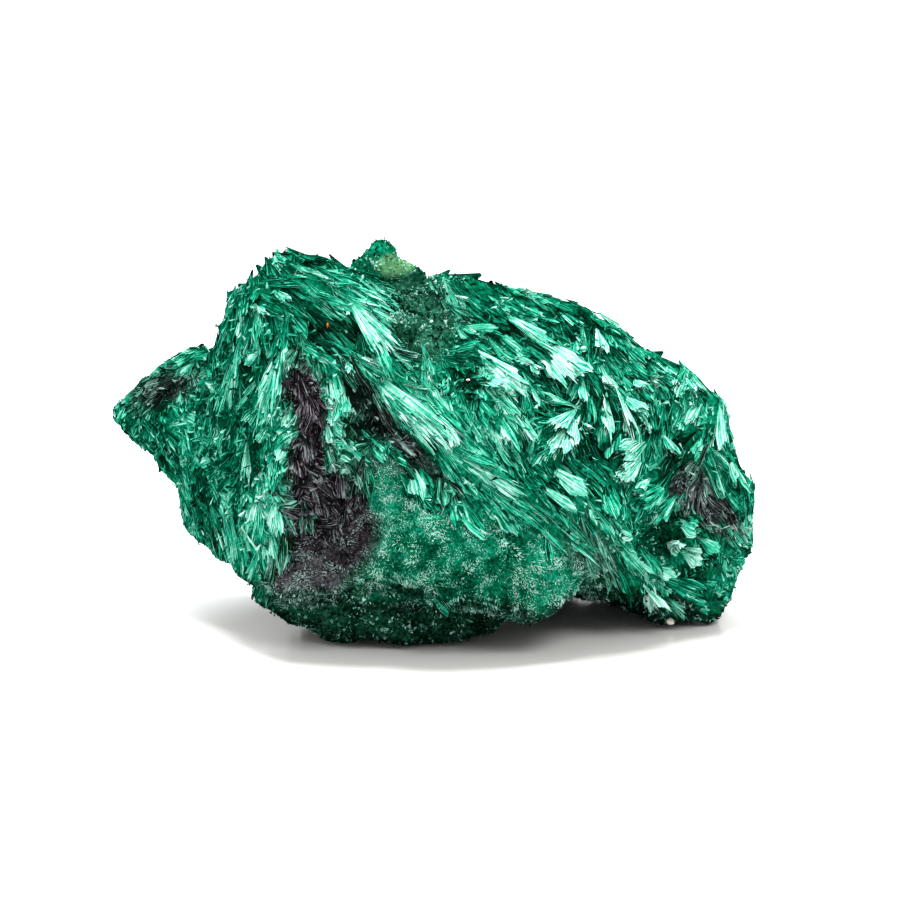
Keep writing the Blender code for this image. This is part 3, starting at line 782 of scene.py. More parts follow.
@dataclass(frozen=True)
class StoneFinish:
    """The packed fibres of the stone's mass, between and under the needles."""

    name: str
    roughness: float = 0.5
    # The mass is kept darker than the needles: partly its own darker colour, partly painted shade in the gaps
    # between and under them.
    darkness: float = 0.55
    clumpiness: float = 0.5
    graininess: float = 0.7
    bump: float = 0.8
    bump_height: float = 0.00025

    def material(self) -> bpy.types.Material:
        """The finish as a material.

        Returns:
            The material.
        """
        made, tree, shader = blank(self.name)
        clumps = swing(tree, cloud(tree, 0.0022, 5.0), 0.5, self.clumpiness)
        grains = swing(tree, cloud(tree, 0.00035, 3.0), 0.5, self.graininess)
        tone = sums(tree, "MULTIPLY", own(tree, "tone"), self.darkness)
        stone_colour(tree, sums(tree, "ADD", tone, sums(tree, "ADD", clumps, grains), clamp=True))
        shader.inputs["Roughness"].default_value = self.roughness
        shader.inputs["Specular IOR Level"].default_value = 0.0
        bump = node(tree, "ShaderNodeBump")
        bump.inputs["Strength"].default_value = self.bump
        bump.inputs["Distance"].default_value = self.bump_height
        tree.links.new(cloud(tree, 0.00045, 4.0), bump.inputs["Height"])
        tree.links.new(bump.outputs["Normal"], shader.inputs["Normal"])
        return made


@dataclass(frozen=True)
class FloorFinish:
    """A white table top with a faint gloss: greyer near the stone as a painted shadow, and glowing away from
    it as painted light that washes out the stone's real shadow there.
    """

    name: str = "white table"
    roughness: float = 0.16
    # The greyer colour near the stone is painted shadow.
    near: tuple = (0.74, 0.728, 0.708, 1.0)
    far: tuple = (0.93, 0.93, 0.93, 1.0)
    middle: tuple = (0.004, -0.012, 0.0)
    start: float = 0.024
    end: float = 0.038
    # The glow away from the stone is painted light; the table is no lamp.
    glow: float = 0.45

    def material(self) -> bpy.types.Material:
        """The finish as a material.

        Returns:
            The material.
        """
        made, tree, shader = blank(self.name)
        place = node(tree, "ShaderNodeTexCoord")
        length = node(tree, "ShaderNodeVectorMath", operation="DISTANCE")
        tree.links.new(place.outputs["Object"], length.inputs[0])
        length.inputs[1].default_value = self.middle
        share = node(tree, "ShaderNodeMapRange", interpolation_type="SMOOTHSTEP")
        feed(tree, share.inputs["Value"], length.outputs["Value"])
        share.inputs["From Min"].default_value = self.start
        share.inputs["From Max"].default_value = self.end
        tree.links.new(blended(tree, share.outputs[0], self.near, self.far), shader.inputs["Base Color"])
        shader.inputs["Emission Color"].default_value = (1.0, 1.0, 1.0, 1.0)
        glow = sums(tree, "MULTIPLY", share.outputs[0], self.glow)
        tree.links.new(glow, shader.inputs["Emission Strength"])
        shader.inputs["Roughness"].default_value = self.roughness
        return made


@dataclass(frozen=True)
class Colouring:
    """How pale, how violet and how yellow each place of the stone is."""

    tone: float = 0.40
    broad_swing: float = 0.22
    coarse_swing: float = 0.26
    most_violet: float = 0.85
    patch_end: float = 1.25
    patch_fade: float = 0.5
    # The underside's dark, greyish colour is painted shade under the stone.
    underside: tuple = (0.12, 0.5, 0.0)

    def at(self, points: np.ndarray, normals: np.ndarray) -> np.ndarray:
        """The colour values of places on the stone.

        Args:
            points: n by 3, in metres.
            normals: n by 3.

        Returns:
            n by 3: tone, violet and yellow, each about 0 to 1.
        """
        seen = VIEW.seen(points)
        front = np.clip(facing(points, normals) * 5.0 + 2.0, 0.0, 1.0)
        broad = lumpy(points, 0.009)
        tinted = lumpy(points, 0.012, (5.0, 3.0, 1.0))
        coarse = lumpy(points, 0.0032, (1.0, 7.0, 2.0))
        values = np.zeros((len(points), 3))
        values[:, 0] = self.tone + self.broad_swing * broad + self.coarse_swing * coarse
        values[:, 1] = (1.0 - front) * np.clip((tinted - 0.25) * 6.0, 0.0, self.most_violet)
        # Patches set colours; the small dark ones in the gaps between fans paint shadow.
        for patch in PATCHES:
            side, rise = from_middle(seen, patch)
            far = np.sqrt(side ** 2 + rise ** 2) + 0.35 * broad + 0.25 * tinted
            share = np.clip((self.patch_end - far) / self.patch_fade, 0.0, 1.0) * front
            target = np.array([patch.tone, patch.violet, patch.yellow])
            values += (target - values) * share[:, None]
        # Darker and greyer where places low down face the floor: painted shade under the stone.
        under = underside_share(points, normals)
        values += (np.array(self.underside) - values) * under[:, None]
        return values


@dataclass
class Stone:
    """The stone's mass: its skin, and the surface that the needles grow on."""

    colouring: Colouring
    fineness: float = 0.00045
    smoothing: int = 2
    lumps: tuple = ((0.0026, 0.00030), (0.0011, 0.00020))
    pits: float = 0.0011
    pit_size: float = 0.0042
    resting: float = 0.0005

    def __post_init__(self) -> None:
        """Builds the skin from the part's own solid."""
        self.mesh = self.skin()
        vertices = self.mesh.vertices
        self.points = np.zeros(len(vertices) * 3)
        vertices.foreach_get("co", self.points)
        self.points = self.points.reshape(-1, 3)
        polygons = [tuple(face.vertices) for face in self.mesh.polygons]
        self.tree = BVHTree.FromPolygons([vertex.co for vertex in vertices], polygons)
        self.outline = Outline(self.tree)

    def skin(self) -> bpy.types.Mesh:
        """The part's solid, fused fine, softened and roughened.

        Returns:
            The skin's mesh.
        """
        source = frame["nodes"]["malachite"]
        bm = bmesh.new()
        bm.from_mesh(source.data)
        bmesh.ops.remove_doubles(bm, verts=bm.verts, dist=1e-7)
        rough = bpy.data.meshes.new("rough skin")
        bm.to_mesh(rough)
        bm.free()
        helper = bpy.data.objects.new("rough skin", rough)
        bpy.context.scene.collection.objects.link(helper)
        fusing = helper.modifiers.new("fusing", "REMESH")
        fusing.mode = "VOXEL"
        fusing.voxel_size = self.fineness
        graph = bpy.context.evaluated_depsgraph_get()
        fused = bpy.data.meshes.new_from_object(helper.evaluated_get(graph))
        bpy.data.objects.remove(helper)
        bm = bmesh.new()
        bm.from_mesh(fused)
        for _ in range(self.smoothing):
            bmesh.ops.smooth_vert(bm, verts=bm.verts, factor=0.5, use_axis_x=True, use_axis_y=True,
                                  use_axis_z=True)
        bm.normal_update()
        bm.verts.ensure_lookup_table()
        self.roughen(bm)
        self.trim(bm)
        bmesh.ops.recalc_face_normals(bm, faces=bm.faces)
        bm.to_mesh(fused)
        bm.free()
        return fused

    def roughen(self, bm: bmesh.types.BMesh) -> None:
        """Raises lumps all over the skin and sinks pits under it, and keeps the resting places flat.

        Args:
            bm: the skin.
        """
        places = np.array([vertex.co for vertex in bm.verts])
        normals = np.array([vertex.normal for vertex in bm.verts])
        for vertex, share in zip(bm.verts, underside_share(places, normals)):
            height = sum(depth * noise.noise(vertex.co / size) for size, depth in self.lumps)
            height += share * self.pits * (noise.noise(vertex.co / self.pit_size) - 0.35)
            if vertex.co.z < self.resting:
                height = min(height, 0.0)
            vertex.co += vertex.normal * height
            vertex.co.z = max(vertex.co.z, 0.0)

    def trim(self, bm: bmesh.types.BMesh) -> None:
        """Moves the skin in or out at the trimmed places of the outline.

        Args:
            bm: the skin.
        """
        bm.normal_update()
        seen = VIEW.seen(np.array([vertex.co for vertex in bm.verts]))
        for cut in TRIMS:
            gap = np.hypot(seen[:, 0] - cut.x, seen[:, 1] - cut.h) / cut.reach
            for index in np.flatnonzero(gap < 2.0):
                vertex = bm.verts[index]
                outward = vertex.normal - VIEW.forward() * vertex.normal.dot(VIEW.forward())
                vertex.co -= outward * cut.depth * MM * math.exp(-gap[index] ** 2)

    def dress(self) -> bpy.types.Object:
        """Gives the skin its colour values and finish, and puts it in the part's place.

        Returns:
            The skin's object.
        """
        normals = np.zeros(len(self.points) * 3)
        self.mesh.vertices.foreach_get("normal", normals)
        values = self.colouring.at(self.points, normals.reshape(-1, 3))
        for index, name in enumerate(("tone", "violet", "yellow")):
            layer = self.mesh.attributes.new(name, "FLOAT", "POINT")
            layer.data.foreach_set("value", values[:, index].astype(np.float32))
        self.mesh.materials.clear()
        self.mesh.materials.append(StoneFinish("malachite mass").material())
        skin = bpy.data.objects.new("stone", self.mesh)
        bpy.context.scene.collection.objects.link(skin)
        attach(skin, "root")
        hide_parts("malachite")
        report("stone", self.mesh)
        return skin

    def nearest(self, points: np.ndarray) -> tuple[np.ndarray, np.ndarray, np.ndarray]:
        """The places on the skin nearest to some points.

        Args:
            points: n by 3.

        Returns:
            The places and the normals there, each n by 3, and how far the n points stand off them.
        """
        places, normals = np.zeros_like(points), np.zeros_like(points)
        for index, point in enumerate(points):
            place, normal, _, _ = self.tree.find_nearest(point)
            places[index], normals[index] = place, normal
        return places, normals, np.sum((points - places) * normals, axis=1)

    def shown(self, x: float, h: float) -> tuple[Vector, Vector] | None:
        """The place on the skin that the front view shows at x across and h up.

        Args:
            x: place across, in millimetres.
            h: place up.

        Returns:
            The place and its normal, or None beside the stone.
        """
        place, normal, _, _ = self.tree.ray_cast(VIEW.eye(), VIEW.ray(x, h))
        return None if place is None else (place, normal)


def report(name: str, mesh: bpy.types.Mesh) -> None:
    """Logs a piece's name and how many triangles it has."""
    log.info("%s: %d triangles", name, len(mesh.loops) - 2 * len(mesh.polygons))


def put(name: str, mesh: bpy.types.Mesh) -> bpy.types.Object:
    """Makes a mesh a piece of the stone.

    Args:
        name: the piece's name.
        mesh: its mesh.

    Returns:
        The piece.
    """
    piece = bpy.data.objects.new(name, mesh)
    bpy.context.scene.collection.objects.link(piece)
    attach(piece, "root")
    report(name, mesh)
    return piece


@dataclass
class Needles:
    """The needles of one piece: start, end, way off the stone, width, colour values and form, in batches."""

    starts: list = field(default_factory=list)
    ends: list = field(default_factory=list)
    ups: list = field(default_factory=list)
    widths: list = field(default_factory=list)
    values: list = field(default_factory=list)
    forms: list = field(default_factory=list)

    def add(self, starts: np.ndarray, ends: np.ndarray, ups: np.ndarray, widths: np.ndarray,
            values: np.ndarray, forms: np.ndarray) -> None:
        """Adds some needles.

        Args:
            starts: n by 3 root points.
            ends: n by 3 tips.
            ups: n by 3 directions off the stone.
            widths: n widths.
            values: n by 3 colour values.
            forms: n numbers of a form.
        """
        self.forms.append(forms)
        self.starts.append(starts)
        self.ends.append(ends)
        self.ups.append(ups)
        self.widths.append(widths)
        self.values.append(values)

    def guide(self) -> bpy.types.Mesh:
        """One point for each needle, with what the needle needs to know.

        Returns:
            The mesh of points.
        """
        starts, ends = np.concatenate(self.starts), np.concatenate(self.ends)
        ups, widths = np.concatenate(self.ups), np.concatenate(self.widths)
        values, forms = np.concatenate(self.values), np.concatenate(self.forms)
        lengths = np.linalg.norm(ends - starts, axis=1)
        keep = lengths > 1e-5
        starts, ends, ups, widths, values = starts[keep], ends[keep], ups[keep], widths[keep], values[keep]
        lengths, forms = lengths[keep], forms[keep]
        guide = bpy.data.meshes.new("needle guide")
        guide.from_pydata(starts.tolist(), [], [])
        for name, kind, key, data in (
            ("aim", "FLOAT_VECTOR", "vector", (ends - starts) / lengths[:, None]),
            ("off", "FLOAT_VECTOR", "vector", ups),
            ("long", "FLOAT", "value", lengths),
            ("wide", "FLOAT", "value", widths),
            ("tone", "FLOAT", "value", values[:, 0]),
            ("violet", "FLOAT", "value", values[:, 1]),
            ("yellow", "FLOAT", "value", values[:, 2]),
            ("chance", "FLOAT", "value", np.random.default_rng(SEED).uniform(0.0, 1.0, len(lengths))),
            ("form", "INT", "value", forms),
        ):
            layer = guide.attributes.new(name, kind, "POINT")
            number = np.int32 if kind == "INT" else np.float32
            layer.data.foreach_set(key, np.ascontiguousarray(data, dtype=number).ravel())
        return guide


@dataclass
class NeedleTree:
    """The geometry nodes that set one needle on each guide point."""

    material: bpy.types.Material

    def __post_init__(self) -> None:
        """Builds the tree with its named inputs."""
        self.tree = bpy.data.node_groups.new("needles on guide", "GeometryNodeTree")
        faces = self.tree.interface
        faces.new_socket("Geometry", in_out="INPUT", socket_type="NodeSocketGeometry")
        forms = faces.new_socket("Forms", in_out="INPUT", socket_type="NodeSocketCollection")
        flat = faces.new_socket("Flatness", in_out="INPUT", socket_type="NodeSocketFloat")
        faces.new_socket("Geometry", in_out="OUTPUT", socket_type="NodeSocketGeometry")
        self.forms_input, self.flat_input = forms.identifier, flat.identifier
        self.build()

    def named(self, name: str, kind: str) -> bpy.types.NodeSocket:
        """A guide point's own value.

        Args:
            name: the value's name.
            kind: its data type.

        Returns:
            The value's socket.
        """
        made = node(self.tree, "GeometryNodeInputNamedAttribute", data_type=kind)
        made.inputs["Name"].default_value = name
        return made.outputs[0]

    def build(self) -> None:
        """Adds and links the nodes."""
        tree = self.tree
        given = node(tree, "NodeGroupInput")
        result = node(tree, "NodeGroupOutput")
        forms = node(tree, "GeometryNodeCollectionInfo")
        forms.inputs["Separate Children"].default_value = True
        tree.links.new(given.outputs["Forms"], forms.inputs["Collection"])
        aimed = node(tree, "FunctionNodeAlignRotationToVector", axis="Z")
        tree.links.new(self.named("aim", "FLOAT_VECTOR"), aimed.inputs["Vector"])
        turned = node(tree, "FunctionNodeAlignRotationToVector", axis="X", pivot_axis="Z")
        tree.links.new(aimed.outputs["Rotation"], turned.inputs["Rotation"])
        tree.links.new(self.named("off", "FLOAT_VECTOR"), turned.inputs["Vector"])
        wide = self.named("wide", "FLOAT")
        flat = node(tree, "ShaderNodeMath", operation="MULTIPLY")
        tree.links.new(wide, flat.inputs[0])
        tree.links.new(given.outputs["Flatness"], flat.inputs[1])
        size = node(tree, "ShaderNodeCombineXYZ")
        tree.links.new(flat.outputs[0], size.inputs["X"])
        tree.links.new(wide, size.inputs["Y"])
        tree.links.new(self.named("long", "FLOAT"), size.inputs["Z"])
        placed = node(tree, "GeometryNodeInstanceOnPoints")
        tree.links.new(given.outputs["Geometry"], placed.inputs["Points"])
        tree.links.new(forms.outputs["Instances"], placed.inputs["Instance"])
        placed.inputs["Pick Instance"].default_value = True
        tree.links.new(self.named("form", "INT"), placed.inputs["Instance Index"])
        tree.links.new(turned.outputs["Rotation"], placed.inputs["Rotation"])
        tree.links.new(size.outputs[0], placed.inputs["Scale"])
        real = node(tree, "GeometryNodeRealizeInstances")
        tree.links.new(placed.outputs["Instances"], real.inputs["Geometry"])
        finish = node(tree, "GeometryNodeSetMaterial")
        finish.inputs["Material"].default_value = self.material
        tree.links.new(real.outputs["Geometry"], finish.inputs["Geometry"])
        tree.links.new(finish.outputs["Geometry"], result.inputs["Geometry"])


@dataclass
class Splinters:
    """The templates of one splinter in each form: long side 1 along Z, width 1 along Y, outer side at X."""

    sides: int = 3
    shoulder: float = 0.86
    columns: int = 8

    def plate(self, bm: bmesh.types.BMesh, chance: np.random.Generator) -> None:
        """A wedge of fibres grown together, narrow at the root and torn at its broad end.

        Args:
            bm: the mesh to fill.
            chance: the source of the end's teeth and the ridges.
        """
        across = bm.verts.layers.float["across"]
        ridges = chance.uniform(-0.03, 0.05, self.columns + 1)
        peak = chance.uniform(-0.38, 0.38)
        sides = np.linspace(-0.5, 0.5, self.columns + 1)
        reach = 1.0 - 0.42 * np.abs(sides - peak) - chance.uniform(0.0, 0.09, self.columns + 1)
        grid = []
        for place, spread in ((0.0, 0.14), (0.38, 0.60), (0.68, 1.0), (1.0, 0.74)):
            line = []
            for column, side in enumerate(sides):
                height = (0.09 * (1.0 - 4.0 * side ** 2) + ridges[column]) * (0.4 + 0.6 * place)
                along = max(reach[column], 0.72) if place == 1.0 else place
                corner = bm.verts.new((height, side * spread, along))
                corner[across] = side
                line.append(corner)
            grid.append(line)
        for line, after in zip(grid, grid[1:]):
            for column in range(self.columns):
                bm.faces.new((line[column], line[column + 1], after[column + 1], after[column]))
        keel = bm.verts.new((-0.14, 0.0, 0.5))
        rim = grid[0] + [line[-1] for line in grid[1:]] + grid[-1][-2::-1]
        rim += [line[0] for line in grid[-2:0:-1]]
        for corner, after in zip(rim, rim[1:] + rim[:1]):
            bm.faces.new((after, corner, keel))

    def needle(self, bm: bmesh.types.BMesh) -> None:
        """A thin needle with a sharp root and tip.

        Args:
            bm: the mesh to fill.
        """
        root = bm.verts.new((0.0, 0.0, 0.0))
        tip = bm.verts.new((0.0, 0.0, 1.0))
        turns = [2.0 * math.pi * step / self.sides for step in range(self.sides)]
        ring = [bm.verts.new((0.5 * math.cos(turn), 0.5 * math.sin(turn), self.shoulder)) for turn in turns]
        for first, second in zip(ring, ring[1:] + ring[:1]):
            bm.faces.new((root, second, first))
            bm.faces.new((tip, first, second))

    def blade(self, bm: bmesh.types.BMesh, ends: tuple) -> None:
        """A flat wedge of packed fibres, broken off jagged.

        Args:
            bm: the mesh to fill.
            ends: how far each of its five edges reaches.
        """
        section = [(-0.22, 0.0), (0.02, -0.5), (0.26, -0.24), (0.30, 0.16), (0.04, 0.5)]
        root = bm.verts.new((0.0, 0.0, 0.0))
        belly = [bm.verts.new((x, y, 0.72)) for x, y in section]
        broken = [bm.verts.new((x * 0.8, y * 0.9, end)) for (x, y), end in zip(section, ends)]
        middle = bm.verts.new((0.0, 0.0, min(ends) - 0.02))
        for index in range(5):
            after = (index + 1) % 5
            bm.faces.new((root, belly[after], belly[index]))
            bm.faces.new((belly[index], belly[after], broken[after], broken[index]))
            bm.faces.new((broken[index], broken[after], middle))

    def build(self) -> bpy.types.Collection:
        """Makes every form.

        Returns:
            The collection of templates, in the order of their numbers.
        """
        forms = bpy.data.collections.new("splinter forms")
        bpy.context.scene.collection.children.link(forms)
        jagged = {
            Form.BLADE: (0.84, 0.88, 1.0, 0.94, 0.82),
            Form.SPLIT_BLADE: (0.80, 0.99, 0.83, 0.97, 0.90),
            Form.CHISEL: (0.88, 0.84, 0.92, 0.98, 1.0),
        }
        for form in Form:
            bm = bmesh.new()
            along, across = bm.verts.layers.float.new("along"), bm.verts.layers.float.new("across")
            if form in jagged:
                self.blade(bm, jagged[form])
            elif form is Form.NEEDLE:
                self.needle(bm)
            else:
                self.plate(bm, np.random.default_rng(form.value))
            for corner in bm.verts:
                corner[along] = corner.co.z
                corner[across] = corner[across] or corner.co.y
            bmesh.ops.recalc_face_normals(bm, faces=bm.faces)
            mesh = bpy.data.meshes.new(form.name.lower())
            bm.to_mesh(mesh)
            bm.free()
            forms.objects.link(bpy.data.objects.new(f"form_{form.value}", mesh))
        return forms

    def clear(self, forms: bpy.types.Collection) -> None:
        """Removes the templates.

        Args:
            forms: the collection of templates.
        """
        for made in list(forms.objects):
            bpy.data.objects.remove(made)
        bpy.data.collections.remove(forms)


@dataclass
class NeedleCoat:
    """A coat of needles over one part of the stone: raggedness in millimetres, other sizes in metres."""

    stone: Stone
    name: str
    finish: NeedleFinish
    flatness: float = 0.85
    broadest: float = 0.00046
    tallest: float = 0.0014
    raggedness: float = 0.45
    bridge: float = 0.0014
    sink: float = 0.0001
    root_heights: tuple = (-0.0002, 0.0006)
    clearance: float = 0.00006
    most_raised: float = 0.0012
    least_at_rim: float = 0.12
    seed: int = SEED

    def __post_init__(self) -> None:
        """Starts with no needles."""
        self.needles = Needles()
        self.rng = np.random.default_rng(self.seed)

    def add_fan(self, root: np.ndarray, end: np.ndarray, up: np.ndarray, width: float, blades: int,
                needles: int, lift: float, colour: np.ndarray, thick: float, evenness: float,
                plates: int) -> None:
        """Adds one fan of blades and needles that spread from a root.

        Args:
            root: where the fan starts, on the stone.
            end: the middle of its broken end.
            up: the direction off the stone.
            width: the fan's width at its end.
            blades: how many blades.
            needles: how many needles lie among them.
            lift: how far the end stands off the stone.
            colour: tone, violet and yellow.
            thick: a needle's width.
            evenness: how closely the blades lie in one plate, from 0 to 1.
            plates: how many plates lie side by side under them.
        """
        rng = self.rng
        self.add_plates(root, end, up, width, plates, lift, colour)
        along = end - root
        side = np.cross(along, up)
        side /= np.linalg.norm(side) + 1e-12
        count = blades + needles
        flat = np.arange(count) < blades
        loose = 1.0 - evenness
        # Blades lie side by side across the fan, and needles anywhere among them.
        place = np.empty(count)
        place[:blades] = np.arange(blades) + 0.5 + loose * rng.uniform(-0.4, 0.4, blades)
        place[:blades] = place[:blades] / max(blades, 1) - 0.5
        place[blades:] = rng.uniform(-0.5, 0.5, needles)
        # Each runs along a part of the way from the root to the rounded, uneven end.
        first = np.where(flat, rng.uniform(0.0, 0.35 * loose + 0.02, count), rng.uniform(0.1, 0.7, count))
        last = 1.0 - 0.42 * np.abs(place) - rng.uniform(0.0, 0.26, count) - np.where(flat, 0.0, 0.08)
        # Each lies at its own height in the fan.
        layer = np.where(flat, 1.0 - loose * rng.uniform(0.0, 0.9, count), rng.uniform(0.3, 1.15, count))
        target = root + along + side * (place * width)[:, None]
        starts = root + (target - root) * first[:, None]
        ends = root + (target - root) * np.maximum(last, first + 0.22)[:, None]
        ends += up * (lift * layer * last)[:, None]
        starts += up * (lift * layer * first)[:, None]
        broad = min(1.45 * width / max(blades, 1), self.broadest)
        widths = np.where(flat, broad, thick) * rng.uniform(0.75, 1.25, count)
        # The higher ones are paler and the lower ones darker: painted shade deep in the fan.
        shade = rng.normal(0.02, 0.09 + 0.05 * loose, count) + 0.12 * (layer - 0.75)
        values = np.tile(colour, (count, 1))
        values[:, 0] = values[:, 0] + shade
        uneven = rng.normal(-0.02, 0.16, count) * (values[:, 1] > 0.05)
        values[:, 1] = np.clip(values[:, 1] + uneven, 0.0, 1.0)
        ups = up + side * rng.normal(0.0, 0.15 + 0.3 * loose, count)[:, None]
        forms = np.where(flat, rng.integers(0, 3, count), Form.NEEDLE.value)
        self.needles.add(starts, ends, ups, widths, values, forms)

    def add_plates(self, root: np.ndarray, end: np.ndarray, up: np.ndarray, width: float, plates: int,
                   lift: float, colour: np.ndarray) -> None:
        """Adds the plates of one fan, which spread from its root.

        Args:
            root: where the fan starts, on the stone.
            end: the middle of its broken end.
            up: the direction off the stone.
            width: the fan's width at its end.
            plates: how many plates.
            lift: how far the end stands off the stone.
            colour: tone, violet and yellow.
        """
        rng = self.rng
        side = np.cross(end - root, up)
        side /= np.linalg.norm(side) + 1e-12
        place = (np.arange(plates) + 0.5) / plates - 0.5
        ends = end + side * (place * width)[:, None] + up * (lift * rng.uniform(0.8, 1.05, plates))[:, None]
        ends += (end - root) * rng.uniform(-0.12, 0.04, plates)[:, None]
        starts = np.tile(root, (plates, 1)) + side * (place * width * 0.12)[:, None]
        values = np.tile(colour, (plates, 1))
        values[:, 0] += rng.normal(-0.05, 0.05, plates)
        ups = up + side * (place * 0.5 + rng.normal(0.0, 0.12, plates))[:, None]
        widths = np.full(plates, 1.12 * width / plates)
        forms = rng.integers(Form.BROAD_PLATE.value, Form.RIDGED_PLATE.value + 1, plates)
        self.needles.add(starts, ends, ups, widths, values, forms)

    def settle(self, least: float) -> None:
        """Moves every needle's root onto the skin, keeps its tip off it and drops those that span a hollow.

        Args:
            least: how far at least the tips stand off.
        """
        for index, (starts, ends) in enumerate(zip(self.needles.starts, self.needles.ends)):
            places, normals, off = self.stone.nearest(starts)
            starts = places + normals * (np.clip(off, *self.root_heights) - self.sink)[:, None]
            places, normals, off = self.stone.nearest(ends)
            rim = np.clip(np.abs(facing(places, normals)) * 3.0, self.least_at_rim, 1.0)
            ends = places + normals * (np.clip(off, least, self.tallest) * rim)[:, None]
            for share in (0.35, 0.65):
                places, normals, off = self.stone.nearest(starts + (ends - starts) * share)
                inner = np.clip(np.abs(facing(places, normals)) * 4.0 - 0.6, 0.0, 1.0)
                lack = np.clip(self.clearance - off, 0.0, self.most_raised) * 1.4 * inner
                lack = normals * lack[:, None]
                starts, ends = starts + lack * (1.0 - share), ends + lack * share
            hanging = self.stone.nearest((starts + ends) / 2)[2] > self.bridge
            ends[hanging] = starts[hanging]
            self.needles.starts[index], self.needles.ends[index] = starts, ends

    def tuck(self) -> None:
        """Shortens and narrows the splinters that stick out of the outline, and drops those that still do."""
        grown = self.needles
        for starts, ends, ups, widths in zip(grown.starts, grown.ends, grown.ups, grown.widths):
            allowed = self.rng.uniform(0.0, self.raggedness, len(starts))
            for kept in (0.6, 0.6, 0.6, 0.0):
                side = np.cross(ends - starts, ups)
                side /= np.linalg.norm(side, axis=1)[:, None] + 1e-12
                out = np.zeros(len(starts), bool)
                for share, reach in ((1.0, 0.0), (0.9, 0.37), (0.9, -0.37), (0.65, 0.5), (0.65, -0.5)):
                    points = starts + (ends - starts) * share + side * (widths * reach)[:, None]
                    out |= self.stone.outline.gap(points) > allowed
                ends[out] = starts[out] + (ends[out] - starts[out]) * kept
                widths[out] *= 0.6

    def dress(self) -> bpy.types.Object:
        """Grows the needles and makes them one plain piece.

        Returns:
            The piece.
        """
        self.tuck()
        for points in self.needles.ends + self.needles.starts:
            np.clip(points, np.array(BOX[0]), np.array(BOX[1]), out=points)
        guide = bpy.data.objects.new(self.name + " guide", self.needles.guide())
        bpy.context.scene.collection.objects.link(guide)
        splinters = Splinters()
        forms = splinters.build()
        grown = NeedleTree(self.finish.material())
        modifier = guide.modifiers.new("needles", "NODES")
        modifier.node_group = grown.tree
        modifier[grown.forms_input] = forms
        modifier[grown.flat_input] = self.flatness
        graph = bpy.context.evaluated_depsgraph_get()
        mesh = bpy.data.meshes.new_from_object(guide.evaluated_get(graph))
        mesh.name = self.name
        bpy.data.objects.remove(guide)
        splinters.clear(forms)
        for name in ("aim", "off", "form"):
            if name in mesh.attributes:
                mesh.attributes.remove(mesh.attributes[name])
        return put(self.name, mesh)


@dataclass
class ListedFans(NeedleCoat):
    """The large fans that the front view lists."""

    # How pale the listed fans are; their paleness is partly painted sheen.
    paleness: float = 0.82
    spread: float = 1.0
    thick: float = 0.00010
    evenness: float = 0.85

    def grow(self, fans: list[Fan], density: float, lift: float, blade: float, plate: float) -> None:
        """Grows each listed fan on the skin where the front view shows it.

        Args:
            fans: the fans.
            density: needles for each millimetre of width.
            lift: how far the ends stand off.
            blade: a blade's width in millimetres.
            plate: a plate's width in millimetres.
        """
        for fan in fans:
            root, end = self.stone.shown(fan.x0, fan.h0), self.stone.shown(fan.x1, fan.h1)
            if root is None or end is None:
                continue
            middle = (root[0] + end[0]) / 2
            up = (root[1] + end[1]).normalized()
            values = self.stone.colouring.at(np.array([middle]), np.array([up]))[0]
            values[0] = fan.tone * self.paleness
            if fan.tone > 0.3:
                values[1] *= 0.35
            width = fan.width * self.spread
            blades = max(2, round(width / blade))
            needles = int(density * (width + 0.3))
            plates = max(1, round(width / plate))
            stand = lift * (0.5 + 0.7 * fan.tone)
            self.add_fan(np.array(root[0]), np.array(end[0]), np.array(up), width * MM, blades, needles,
                         stand, values, self.thick, self.evenness, plates)
        self.settle(0.00012)


